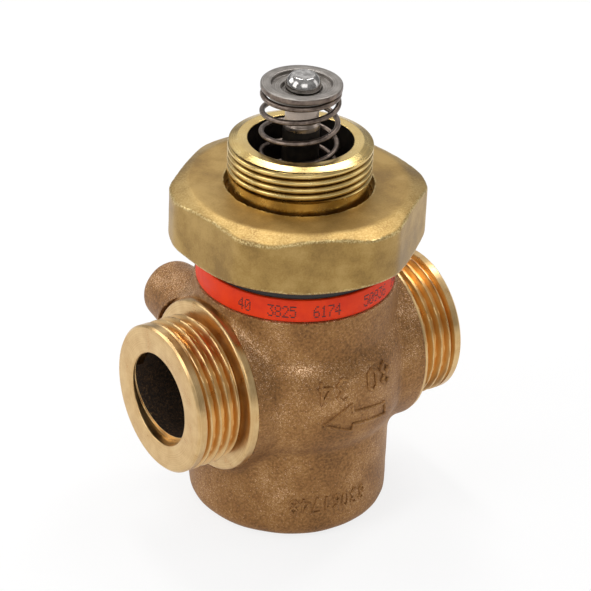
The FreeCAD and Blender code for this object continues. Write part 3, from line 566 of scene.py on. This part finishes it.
smallLook = {"oilAndShadeTop": 91.3, "shadedRimFrom": 8.7, "retainerAside": (-0.25, 0.18)}

for name, (finish, body, slotName, cadNode, steps, corners) in smallTurned.items():
    mesh = turnedMesh(name, corners, steps)
    mesh.materials.append(finish)
    # Below the given height the stem gets the near-black cup finish: oil, and painted shade deep in
    # the cup.
    if name == "stemRod":
        mesh.materials.append(cupBlack)
        for face in mesh.polygons:
            face.material_index = int(face.center.z < smallLook["oilAndShadeTop"] * mm)
    # The disc's outer rim gets the darker spring-wire finish: painted shade on the side that looks
    # away from the overhead light.
    if name == "retainerDisc":
        mesh.materials.append(wireSteel)
        for face in mesh.polygons:
            face.material_index = int(face.center.xy.length > smallLook["shadedRimFrom"] * mm)
        mesh.transform(Matrix.Translation(Vector(smallLook["retainerAside"]).to_3d() * mm))
    finishPiece(placeMesh(mesh), body, slotName, cadNode)
print("small turned pieces made")


# Return spring

springSizes = {
    "meanRadius": 8.1, "wire": 1.2, "aside": (-0.33, 0.23), "bottom": 74.8, "length": 25.4,
    "activeTurns": 4.4, "closedPitch": 1.02, "start": -86.4, "stroke": 5.0, "points": 420,
    "sides": 16,
}


def makeCoilTree():
    # Bends a line into a coil with one closed turn at each end and gives it its wire.
    tree, given = newTree("coilWinder", (
        "Radius", "Wire", "Bottom", "Top", "Active Turns", "Closed Pitch", "Start"), ("Points",))
    line = addNode(tree, "GeometryNodeCurvePrimitiveLine").outputs[0]
    cutLine = addNode(tree, "GeometryNodeResampleCurve", {"Curve": line, "Count": given["Points"]})
    index = addNode(tree, "GeometryNodeInputIndex").outputs[0]
    share = maths(tree, "DIVIDE", index, maths(tree, "SUBTRACT", given["Points"], 1.0))
    done = maths(tree, "MULTIPLY", share, maths(tree, "ADD", given["Active Turns"], 2.0))
    atBottom = maths(tree, "MINIMUM", done, 1.0)
    overTop = maths(tree, "SUBTRACT", done, maths(tree, "ADD", given["Active Turns"], 1.0))
    closed = maths(tree, "ADD", atBottom, maths(tree, "MAXIMUM", overTop, 0.0))
    spread = maths(tree, "SUBTRACT", done, closed)
    span = maths(tree, "SUBTRACT", given["Top"], given["Bottom"])
    openRise = maths(tree, "MULTIPLY_ADD", given["Closed Pitch"], -2.0, span)
    openPitch = maths(tree, "DIVIDE", openRise, given["Active Turns"])
    openPart = maths(tree, "MULTIPLY_ADD", spread, openPitch, given["Bottom"])
    height = maths(tree, "MULTIPLY_ADD", closed, given["Closed Pitch"], openPart)
    angle = maths(tree, "MULTIPLY_ADD", done, 2 * math.pi, given["Start"])
    across = maths(tree, "MULTIPLY", maths(tree, "COSINE", angle), given["Radius"])
    deep = maths(tree, "MULTIPLY", maths(tree, "SINE", angle), given["Radius"])
    spot = addNode(tree, "ShaderNodeCombineXYZ", {0: across, 1: deep, 2: height}).outputs[0]
    coil = addNode(tree, "GeometryNodeSetPosition", {
        "Geometry": cutLine.outputs[0], "Position": spot}).outputs[0]
    return sweepRound(tree, coil, springSizes["sides"], given["Wire"], given["Finish"])


def makeSpring():
    s = springSizes
    piece = placeMesh(bpy.data.meshes.new("returnCoil"))
    runTree(piece, makeCoilTree(), {
        "Radius": s["meanRadius"] * mm, "Wire": s["wire"] / 2 * mm,
        "Bottom": (s["bottom"] + s["wire"] / 2) * mm,
        "Top": (s["bottom"] + s["length"] - s["wire"] / 2) * mm,
        "Active Turns": s["activeTurns"], "Closed Pitch": s["wire"] * s["closedPitch"] * mm,
        "Start": math.radians(s["start"]), "Points": s["points"], "Finish": wireSteel})
    piece.data.transform(Matrix.Translation(Vector(s["aside"]).to_3d() * mm))
    finishPiece(piece, "housing", "spring_steel", "return_spring")
    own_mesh(piece)


makeSpring()
print("spring wound")


# Casting and forging, from fields of distances in millimetres

def joined(a, b, blend):
    share = np.clip(0.5 + 0.5 * (b - a) / blend, 0, 1)
    return b + (a - b) * share - blend * share * (1 - share)


def shared(a, b, blend):
    return -joined(-a, -b, blend)


def cylinder(x, y, z, axis, centre, radius, low, high):
    # Straight cylinder along one axis between two heights.
    across, beside, along = {"X": (y, z, x), "Z": (x, y, z)}[axis]
    side = np.hypot(across - centre[0], beside - centre[1]) - radius
    return np.maximum(side, np.maximum(low - along, along - high))


castingSizes = {
    "barrelRadius": 22.2, "baseRound": 4.16, "bellyRadius": 25.0, "bellyReach": 17.2,
    "tubeRadius": 19.5, "blend": 2.2, "bellyBlend": 0.66,
    "boss": (-15.2, 42.8), "bossRoot": 10.4, "bossEnd": 6.7, "bossReach": 28.2, "bossRound": 2.2,
    "bandSeat": 55.5, "outletCut": -21.6, "inletCut": 22.8, "turnedRadius": 20.1, "cutEdge": 0.35,
    "chamber": 13.3, "floor": 6.0, "partition": (27.5, 32.5), "seatHole": 10.5, "chamberTop": 50.0,
    "insertBore": 16.9, "bore": 10.0, "boreEnd": 17.0, "passage": 6.5,
    "inletFoot": (9.0, 13.0), "inletTilt": 43.0, "inletLength": 19.0, "outletHeight": 40.2,
    "passageBlend": 1.5, "outletBlend": 1.0, "cavityBlend": 0.5, "turnedBlend": 0.3,
    "wallBlend": 0.6, "beyond": 99.0, "waviness": 0.04, "step": 0.45,
    "sleeve": ((21.0, 55.5), (21.0, 60.9), (20.5, 60.9), (20.5, 71.2), (19.7, 72.0)),
    "sleeveSteps": 128, "skin": 0.35, "upwardGain": 1.6, "downward": -0.3,
}

waveCount = 14
waves = np.random.default_rng(7)
waveTurns = waves.normal(size=(waveCount, 3)) * 0.5
waveShifts = waves.uniform(0, 2 * math.pi, waveCount)


def waviness(x, y, z):
    # Slow unevenness of a sand mould, a few millimetres long.
    total = 0
    for turn, shift in zip(waveTurns, waveShifts):
        total = total + np.sin(turn[0] * x + turn[1] * y + turn[2] * z + shift)
    return total / math.sqrt(waveCount)


def castOutside(x, y, z):
    s = castingSizes
    across = np.hypot(x, y)
    barrel = shared(across - s["barrelRadius"], -z, s["baseRound"])
    wide, tall = across / s["bellyRadius"], np.abs(z - portHeight) / s["bellyReach"]
    belly = s["bellyRadius"] * (np.cbrt(wide ** 3 + tall ** 3) - 1)
    tube = np.hypot(y, z - portHeight) - s["tubeRadius"]
    body = joined(joined(barrel, tube, s["blend"]), belly, s["bellyBlend"])
    taper = (s["bossRoot"] - s["bossEnd"]) / s["bossReach"]
    boss = np.hypot(x - s["boss"][0], z - s["boss"][1]) - s["bossRoot"] + taper * y
    boss = np.maximum(shared(boss, y - s["bossReach"], s["bossRound"]), -y)
    return joined(body, boss, s["blend"]) + s["waviness"] * waviness(x, y, z)


def castInside(x, y, z):
    s = castingSizes
    low, high = s["partition"]
    far, end = s["beyond"], s["boreEnd"]
    lower = cylinder(x, y, z, "Z", (0, 0), s["chamber"], s["floor"], low)
    hole = cylinder(x, y, z, "Z", (0, 0), s["seatHole"], low - 2, high + 2)
    upper = cylinder(x, y, z, "Z", (0, 0), s["chamber"], high, s["chamberTop"] + 2)
    insert = cylinder(x, y, z, "Z", (0, 0), s["insertBore"], s["chamberTop"], far)
    outlet = cylinder(x, y, z, "X", (0, portHeight), s["bore"], -far, -end)
    inlet = cylinder(x, y, z, "X", (0, portHeight), s["bore"], end, far)
    outPass = cylinder(x, y, z, "X", (0, s["outletHeight"]), s["passage"], -end - 6, 0)
    tilt = math.radians(s["inletTilt"])
    dx, dz = x - s["inletFoot"][0], z - s["inletFoot"][1]
    along = dx * math.sin(tilt) + dz * math.cos(tilt)
    beside = np.hypot(dx * math.cos(tilt) - dz * math.sin(tilt), y) - s["passage"]
    inPass = np.maximum(beside, np.maximum(-along, along - s["inletLength"]))
    cavity = joined(joined(lower, inPass, s["passageBlend"]),
                    joined(inlet, inPass, s["passageBlend"]), s["cavityBlend"])
    outSide = joined(joined(upper, outPass, s["outletBlend"]), outlet, s["passageBlend"])
    cavity = joined(cavity, outSide, s["cavityBlend"])
    return joined(joined(cavity, hole, s["turnedBlend"]), insert, s["turnedBlend"])


def castField(x, y, z):
    s = castingSizes
    solid = shared(castOutside(x, y, z), -castInside(x, y, z), s["wallBlend"])
    reach = np.hypot(y, z - portHeight) - s["turnedRadius"]
    for plane in (x - s["outletCut"], s["inletCut"] - x):
        solid = shared(solid, -np.maximum(plane, reach), s["cutEdge"])
    return np.maximum(shared(solid, z - s["bandSeat"], s["cutEdge"]), -z)


nutSizes = {
    "halfFlats": 26.0, "cornerRadius": 27.9, "turn": 36.7, "bottom": 64.3, "top": 78.1,
    "topFace": 24.0, "topChamfer": 1.6, "bottomFace": 25.3, "bottomChamfer": 1.5,
    "hole": 16.15, "ceiling": 75.1, "bore": 20.55, "mouth": 21.5, "mouthDepth": 1.2,
    "flatBend": 0.35, "cornerBend": 0.6, "coneBend": 0.3, "faceBend": 0.35, "holeBend": 0.2,
    "waviness": 0.03, "step": 0.5,
    "edgeReach": 0.35, "edgeGain": 0.6, "edgeLevel": 0.22, "rimWidth": 0.2,
}


def nutCone(radius, rise, face, chamfer):
    width = nutSizes["cornerRadius"] - face
    return ((radius - face) * chamfer + rise * width) / math.hypot(width, chamfer)


def nutField(x, y, z):
    s = nutSizes
    sides = None
    for i in range(3):
        angle = math.radians(s["turn"] + 30 + 60 * i)
        slab = np.abs(x * math.cos(angle) + y * math.sin(angle)) - s["halfFlats"]
        sides = slab if sides is None else shared(sides, slab, s["flatBend"])
    radius = np.hypot(x, y)
    body = shared(sides, radius - s["cornerRadius"], s["cornerBend"])
    for face, height, chamfer, up in ((s["topFace"], s["top"], s["topChamfer"], 1),
                                      (s["bottomFace"], s["bottom"], s["bottomChamfer"], -1)):
        cone = nutCone(radius, (z - height) * up, face, chamfer)
        body = shared(shared(body, cone, s["coneBend"]), (z - height) * up, s["faceBend"])
    hole = radius - s["hole"]
    bore = np.maximum(radius - s["bore"], z - s["ceiling"])
    mouth = np.maximum(radius - s["mouth"], z - s["bottom"] - s["mouthDepth"])
    hollow = np.minimum(hole, np.minimum(bore, mouth))
    return shared(body, -hollow, s["holeBend"]) + s["waviness"] * waviness(x, y, z)


def settle(field, points, reach, rounds=5):
    # Slides points along the field's slope onto its surface.
    probe = 0.02
    for _ in range(rounds):
        gap = field(*points.T)
        slope = np.stack([(field(*(points + e).T) - field(*(points - e).T)) / (2 * probe)
                          for e in np.eye(3) * probe], axis=1)
        size = np.maximum((slope ** 2).sum(axis=1), 0.2)
        points = points - (np.clip(gap, -reach, reach) / size)[:, None] * slope
    return points


def skinOf(field, low, high, step):
    # One vertex in each grid cell that the surface crosses, four cells to a face.
    lines = [np.arange(a - 1.5 * step, b + 2.5 * step, step) for a, b in zip(low, high)]
    full = field(*np.meshgrid(*lines, indexing="ij")) < 0
    count = sum(full[i:i - 1 or None, j:j - 1 or None, k:k - 1 or None].astype(np.int8)
                for i in (0, 1) for j in (0, 1) for k in (0, 1))
    crossed = (count > 0) & (count < 8)
    number = np.full(crossed.shape, -1)
    number[crossed] = np.arange(crossed.sum())
    cells = np.argwhere(crossed)
    points = np.stack([lines[a][cells[:, a]] + step / 2 for a in range(3)], axis=1)
    quads = []
    for a in range(3):
        b, c = (a + 1) % 3, (a + 2) % 3
        first = np.take(full, range(full.shape[a] - 1), axis=a)
        second = np.take(full, range(1, full.shape[a]), axis=a)
        for mask, order in ((first & ~second, 1), (~first & second, -1)):
            flips = np.argwhere(mask)
            around = []
            for db, dc in ((-1, -1), (0, -1), (0, 0), (-1, 0))[::order]:
                spot = flips.copy()
                spot[:, b] += db
                spot[:, c] += dc
                around.append(number[tuple(spot.T)])
            quads.append(np.stack(around, axis=1))
    quads = np.concatenate(quads)
    points = settle(field, points, step)
    # evens out the cells, each time back onto the surface
    for _ in range(3):
        total = np.zeros_like(points)
        share = np.zeros(len(points))
        for i in range(4):
            beside = points[quads[:, i - 1]] + points[quads[:, (i + 1) % 4]]
            np.add.at(total, quads[:, i], beside)
            np.add.at(share, quads[:, i], 2)
        points = settle(field, 0.5 * points + 0.5 * total / share[:, None], step, 3)
    return points, quads


def storeValues(mesh, name, values):
    layer = mesh.attributes.new(name, "FLOAT", "POINT")
    layer.data.foreach_set("value", values.astype(np.float32))


def makeCasting():
    s = castingSizes
    reach = s["bossRoot"] - s["boss"][0]
    low = (-reach, -s["bellyRadius"] - 1, 0)
    high = (reach, s["bossReach"] + 0.5, s["bandSeat"])
    points, quads = skinOf(castField, low, high, s["step"])
    points[:, 2] = np.maximum(points[:, 2], 0)
    first, last = s["sleeve"][0][1], s["sleeve"][-1][1]
    sleeve = turnedMesh("neckSleeve", [
        (s["insertBore"], first), *s["sleeve"], (s["insertBore"], last)], s["sleeveSteps"])
    mesh = meshOf("castBody", points, quads.tolist())
    shell = bmesh.new()
    shell.from_mesh(mesh)
    shell.from_mesh(sleeve)
    shell.to_mesh(mesh)
    shell.free()
    for finish in (castBronze, portBronze, castBore):
        mesh.materials.append(finish)
    centres = np.array([face.center for face in mesh.polygons]) / mm
    inner = castInside(*centres.T) < s["skin"]
    turned = centres[:, 2] > s["bandSeat"] + 0.05
    finishes = np.where(turned, 1, np.where(inner, 2, 0)).astype(np.int32)
    mesh.polygons.foreach_set("material_index", finishes)
    # The facing of each wall, up or down, for the painted highlight of the cast finish: more bright
    # grains on top, fewer underneath.
    upward = np.array([normal.vector.z for normal in mesh.vertex_normals]) * s["upwardGain"]
    storeValues(mesh, "upward", np.clip(upward, s["downward"], 1))
    finishPiece(placeMesh(mesh), "housing", "cast_bronze", "valve_body")


def makeNut():
    # The attribute "edge" is high where the form bends outward and on the chamfer's rim; the forged
    # finish paints rubbed wear and a highlight there.
    s = nutSizes
    reach = s["cornerRadius"]
    low, high = (-reach, -reach, s["bottom"]), (reach, reach, s["top"])
    points, quads = skinOf(nutField, low, high, s["step"])
    spread = s["edgeReach"]
    bend = sum(nutField(*(points + e).T) + nutField(*(points - e).T) for e in np.eye(3) * spread)
    bend = (bend - 6 * nutField(*points.T)) / spread ** 2 * s["edgeGain"] - s["edgeLevel"]
    radius = np.hypot(points[:, 0], points[:, 1])
    cone = nutCone(radius, points[:, 2] - s["top"], s["topFace"], s["topChamfer"])
    edge = np.clip(np.maximum(bend, s["rimWidth"] - np.abs(cone)), 0, 1)
    mesh = meshOf("unionNut", points, quads.tolist())
    storeValues(mesh, "edge", edge)
    mesh.materials.append(forgedBrass)
    finishPiece(placeMesh(mesh), "housing", "nut_brass", "union_nut")


makeCasting()
makeNut()
print("casting and nut formed")


# Raised marks on the casting: the flow arrow and plain numerals

# each numeral in a box 0.6 wide and 1 high
strokes = {
    "0": [(0.1, 0.2), (0.3, 0), (0.5, 0.2), (0.5, 0.8), (0.3, 1), (0.1, 0.8), (0.1, 0.2)],
    "1": [(0.15, 0.75), (0.35, 1), (0.35, 0)],
    "3": [(0.1, 0.9), (0.35, 1), (0.52, 0.78), (0.3, 0.54), (0.52, 0.28), (0.3, 0), (0.08, 0.12)],
    "4": [(0.45, 0), (0.45, 1), (0.05, 0.3), (0.58, 0.3)],
    "6": [(0.5, 0.95), (0.2, 0.7), (0.08, 0.3), (0.3, 0), (0.52, 0.28), (0.3, 0.52), (0.1, 0.35)],
    "7": [(0.05, 1), (0.55, 1), (0.25, 0)],
    "8": [(0.3, 0.54), (0.5, 0.78), (0.3, 1), (0.1, 0.78), (0.3, 0.54), (0.54, 0.26), (0.3, 0),
          (0.06, 0.26), (0.3, 0.54)],
}

# The words give text, middle x and z, height and turn in degrees: the mould's marks
# stand on their heads.
markSizes = {
    "arrow": ((-7.8, 31.2), (-1.3, 35.4), (-1.0, 33.4), (8.6, 32.0), (9.4, 28.6), (-0.6, 30.0),
              (-0.9, 28.2), (-7.8, 31.2)),
    "upperNumerals": ("80 34", 0.4, 39.5, 5.6, 181),
    "lowerNumerals": ("83061748", -3.6, 8.8, 3.7, 179),
    "step": 0.72, "glyphWidth": 0.6, "bead": 0.085, "arrowBead": 0.40, "lift": 0.04,
    "spacing": 0.4, "startRadius": 25.3, "sides": 8,
}


def makeMarkTree():
    # Lays a round bead along drawn lines.
    tree, given = newTree("markBead", ("Bead",))
    line = addNode(tree, "GeometryNodeMeshToCurve", {"Mesh": given["Geometry"]}).outputs[0]
    return sweepRound(tree, line, markSizes["sides"], given["Bead"], given["Finish"])


def placedStrokes(word, across, up, height, turn):
    step = height * markSizes["step"]
    inset = (step - height * markSizes["glyphWidth"]) / 2
    angle = math.radians(turn)
    for i, letter in enumerate(word):
        if letter not in strokes:
            continue
        left = (i - len(word) / 2) * step + inset
        line = []
        for x, z in strokes[letter]:
            dx, dz = left + x * height, (z - 0.5) * height
            line.append((across + dx * math.cos(angle) - dz * math.sin(angle),
                         up + dx * math.sin(angle) + dz * math.cos(angle)))
        yield line


def makeMark(name, lines, bead):
    s = markSizes
    spots, edges = [], []
    for line in lines:
        first = len(spots)
        for a, b in zip(line, line[1:]):
            pieces = max(1, round(math.dist(a, b) / s["spacing"]))
            spots += [(a[0] + (b[0] - a[0]) * i / pieces, a[1] + (b[1] - a[1]) * i / pieces)
                      for i in range(pieces)]
        spots.append(line[-1])
        edges += [(i, i + 1) for i in range(first, len(spots) - 1)]
    flat = np.array([(x, -math.sqrt(s["startRadius"] ** 2 - x * x), z) for x, z in spots])
    placed = settle(castOutside, flat, 1.0, 10)
    placed[:, :2] *= 1 + s["lift"] / np.hypot(placed[:, 0], placed[:, 1])[:, None]
    piece = placeMesh(meshOf(name, placed, [], edges))
    runTree(piece, markBead, {"Bead": bead * mm, "Finish": castBronze})
    finishPiece(piece, "housing", "cast_bronze")


markBead = makeMarkTree()
makeMark("flowArrow", [markSizes["arrow"]], markSizes["arrowBead"])
for name in ("upperNumerals", "lowerNumerals"):
    word = markSizes[name]
    makeMark(name, list(placedStrokes(*word)), word[3] * markSizes["bead"])
print("marks raised")


# Numerals printed on the band in dots

# five dots wide and seven high: one number for each row, from the top down
dotRows = {
    "0": (14, 17, 19, 21, 25, 17, 14), "1": (4, 12, 4, 4, 4, 4, 14),
    "2": (14, 17, 1, 2, 4, 8, 31), "3": (31, 2, 4, 2, 1, 17, 14),
    "4": (2, 6, 10, 18, 31, 2, 2), "5": (31, 16, 30, 1, 1, 17, 14),
    "6": (6, 8, 16, 30, 17, 17, 14), "7": (31, 1, 2, 4, 8, 8, 8),
    "8": (14, 17, 17, 14, 17, 17, 14), "9": (14, 17, 17, 15, 1, 2, 12),
}

printSizes = {
    "words": ((-68.0, "40"), (-50.0, "3825"), (-24.0, "6174"), (8.0, "50936"), (36.0, "148"),
              (120.0, "7302"), (180.0, "6150")),
    "height": 2.5, "middle": 58.0, "radius": 21.83, "aspect": 0.66, "gap": 0.42,
    "dot": 0.17, "dotSides": 8,
}


def makeDotTree():
    # Puts a small flat dot on each given point, facing away from the stem.
    tree, given = newTree("dotPrinter", ("Dot",))
    spot = addNode(tree, "GeometryNodeInputPosition").outputs[0]
    outward = addNode(tree, "ShaderNodeVectorMath", {0: spot, 1: (1, 1, 0)},
                      operation="MULTIPLY").outputs[0]
    facing = addNode(tree, "FunctionNodeAlignRotationToVector", {"Vector": outward}, axis="Z")
    dot = addNode(tree, "GeometryNodeMeshCircle", {
        "Vertices": printSizes["dotSides"], "Radius": given["Dot"]}, fill_type="NGON")
    points = addNode(tree, "GeometryNodeMeshToPoints", {"Mesh": given["Geometry"]}).outputs[0]
    laid = addNode(tree, "GeometryNodeInstanceOnPoints", {
        "Points": points, "Instance": dot.outputs[0], "Rotation": facing.outputs[0]})
    return closeTree(tree, laid.outputs[0], given["Finish"])


def makePrint():
    s = printSizes
    pitch = s["height"] / 6
    across = pitch * s["aspect"]
    top = s["middle"] + s["height"] / 2
    verts = []
    for start, word in s["words"]:
        for i, letter in enumerate(word):
            for row, bits in enumerate(dotRows[letter]):
                for column in range(5):
                    if bits >> (4 - column) & 1:
                        travel = (i * (5 + 2 * s["gap"]) + column) * across
                        angle = math.radians(start - 90) + travel / s["radius"]
                        verts.append((s["radius"] * math.cos(angle), s["radius"] * math.sin(angle),
                                      top - row * pitch))
    piece = placeMesh(meshOf("bandPrint", verts, []))
    runTree(piece, makeDotTree(), {"Dot": s["dot"] * mm, "Finish": inkBlack})
    finishPiece(piece, "housing", "red_band")


makePrint()
print("band printed")


# CAD pieces that stay as they are, inside

for finish, names in (
        (rubberBlack, ("seat_o_ring", "bonnet_o_ring", "gland_o_ring", "stem_seal_lower",
                       "stem_seal_upper", "wiper_ring", "plug_seal")),
        (neckBrass, ("stem_bush", "seal_spacer", "gland_nut")),
        (stainless, ("valve_seat", "spring_washer", "plug_holder", "throttle_cone", "plug_nut"))):
    for name in names:
        kept = nodes[name].data
        kept.materials.clear()
        kept.materials.append(finish)
print("inner pieces dressed")


# Floor, light and camera

floorLook = {"reach": 3000, "tone": "#F2F2F2", "whiteShare": 0.8, "mirroredShare": 0.7}


def makeFloor():
    # A matt pale sheet that shows almost white to the camera and keeps the shadow;
    # metal mirrors it a little darker.
    s = floorLook
    corners = [(x * s["reach"], y * s["reach"], 0) for x, y in ((-1, -1), (1, -1), (1, 1), (-1, 1))]
    mesh = meshOf("floor", corners, [(0, 1, 2, 3)])
    material = bpy.data.materials.new("paleFloor")
    material.use_nodes = True
    tree = material.node_tree
    tree.nodes.clear()
    rays = addNode(tree, "ShaderNodeLightPath").outputs
    mirrored = maths(tree, "MULTIPLY", rays["Is Glossy Ray"], s["mirroredShare"])
    seen = maths(tree, "MAXIMUM", maths(tree, "MAXIMUM", rays["Is Camera Ray"], mirrored),
                 rays["Is Transmission Ray"])
    share = maths(tree, "MULTIPLY", seen, s["whiteShare"])
    matt = addNode(tree, "ShaderNodeBsdfDiffuse", {"Color": linear(s["tone"])}).outputs[0]
    glow = addNode(tree, "ShaderNodeEmission", {"Color": linear("#FFFFFF")})
    mix = addNode(tree, "ShaderNodeMixShader", {0: share, 1: matt, 2: glow.outputs[0]}).outputs[0]
    addNode(tree, "ShaderNodeOutputMaterial", {0: mix})
    mesh.materials.append(material)
    floor = placeMesh(mesh)


# Each lamp's place, the height it aims at and its size in metres, then its watts. The
# two narrow strips overhead mirror in the neck's chamfer.
lamps = {
    "overLeft": ((0.06, 0.31, 0.68), 0.07, (0.10, 0.30), 1.3),
    "overRight": ((0.33, 0.09, 0.68), 0.07, (0.11, 0.30), 1.3),
    "back": ((0.18, 0.62, 0.46), 0.07, (0.85, 0.32), 0.42),
    "backLeft": ((-0.45, 0.50, 0.40), 0.05, (0.35, 0.35), 1.15),
    "front": ((-0.30, -0.62, 0.52), 0.05, (0.5, 0.4), 1.1),
    "fillRight": ((0.68, -0.30, 0.34), 0.05, (0.3, 0.5), 0.6),
    "sideLeft": ((-0.66, 0.02, 0.42), 0.05, (0.3, 0.5), 1.5),
}


def makeLamps():
    for name, (place, aim, size, watts) in lamps.items():
        lamp = bpy.data.lights.new(name, "AREA")
        lamp.shape = "RECTANGLE"
        lamp.size, lamp.size_y = size
        lamp.energy = watts
        holder = bpy.data.objects.new(name, lamp)
        holder.location = place
        away = Vector(place) - Vector((0, 0, aim))
        holder.rotation_euler = away.to_track_quat("Z", "Y").to_euler()
        bpy.context.scene.collection.objects.link(holder)


worldLook = {
    "stops": ((0.0, "#9A9A9A"), (0.35, "#C4C4C4"), (1.0, "#F4F4F4")),
    "lowest": -0.2, "strength": 0.62,
}


def makeWorld():
    # Grey that grows paler overhead, for metal to mirror. Behind the object the camera
    # sees plain white.
    s = worldLook
    world = bpy.data.worlds.new("studio")
    bpy.context.scene.world = world
    world.use_nodes = True
    tree = world.node_tree
    tree.nodes.clear()
    place = addNode(tree, "ShaderNodeTexCoord").outputs["Generated"]
    height = addNode(tree, "ShaderNodeSeparateXYZ", {0: place}).outputs["Z"]
    shade = rampOf(tree, ranged(tree, height, s["lowest"], 1.0), s["stops"])
    light = addNode(tree, "ShaderNodeBackground", {"Color": shade, "Strength": s["strength"]})
    white = addNode(tree, "ShaderNodeBackground", {"Color": linear("#FFFFFF")})
    rays = addNode(tree, "ShaderNodeLightPath").outputs
    seen = maths(tree, "MAXIMUM", rays["Is Camera Ray"], rays["Is Transmission Ray"])
    mix = addNode(tree, "ShaderNodeMixShader", {0: seen, 1: light.outputs[0], 2: white.outputs[0]})
    addNode(tree, "ShaderNodeOutputWorld", {0: mix.outputs[0]})


cameraView = {
    "turn": -35.690, "rise": 29.744, "roll": 2.486, "distance": 633.51,
    "target": (0.241, -0.173, 49.687), "lens": 175.72,
}


def makeCamera():
    s = cameraView
    turn, rise, roll = (math.radians(s[key]) for key in ("turn", "rise", "roll"))
    flat = math.cos(rise)
    back = Vector((math.sin(turn) * flat, -math.cos(turn) * flat, math.sin(rise)))
    right = Vector((math.cos(turn), math.sin(turn), 0))
    up = back.cross(right)
    right, up = (right * math.cos(roll) + up * math.sin(roll),
                 up * math.cos(roll) - right * math.sin(roll))
    data = bpy.data.cameras.new("camera")
    data.lens = s["lens"]
    data.sensor_width = 36
    data.clip_start = 0.01
    camera = bpy.data.objects.new("camera", data)
    turned = Matrix((right, up, back)).transposed().to_4x4()
    spot = (Vector(s["target"]) + back * s["distance"]) * mm
    camera.matrix_world = Matrix.Translation(spot) @ turned
    bpy.context.scene.collection.objects.link(camera)
    bpy.context.scene.camera = camera


makeFloor()
makeLamps()
makeWorld()
makeCamera()
bpy.context.scene.view_settings.view_transform = "Standard"
print("stage lit")
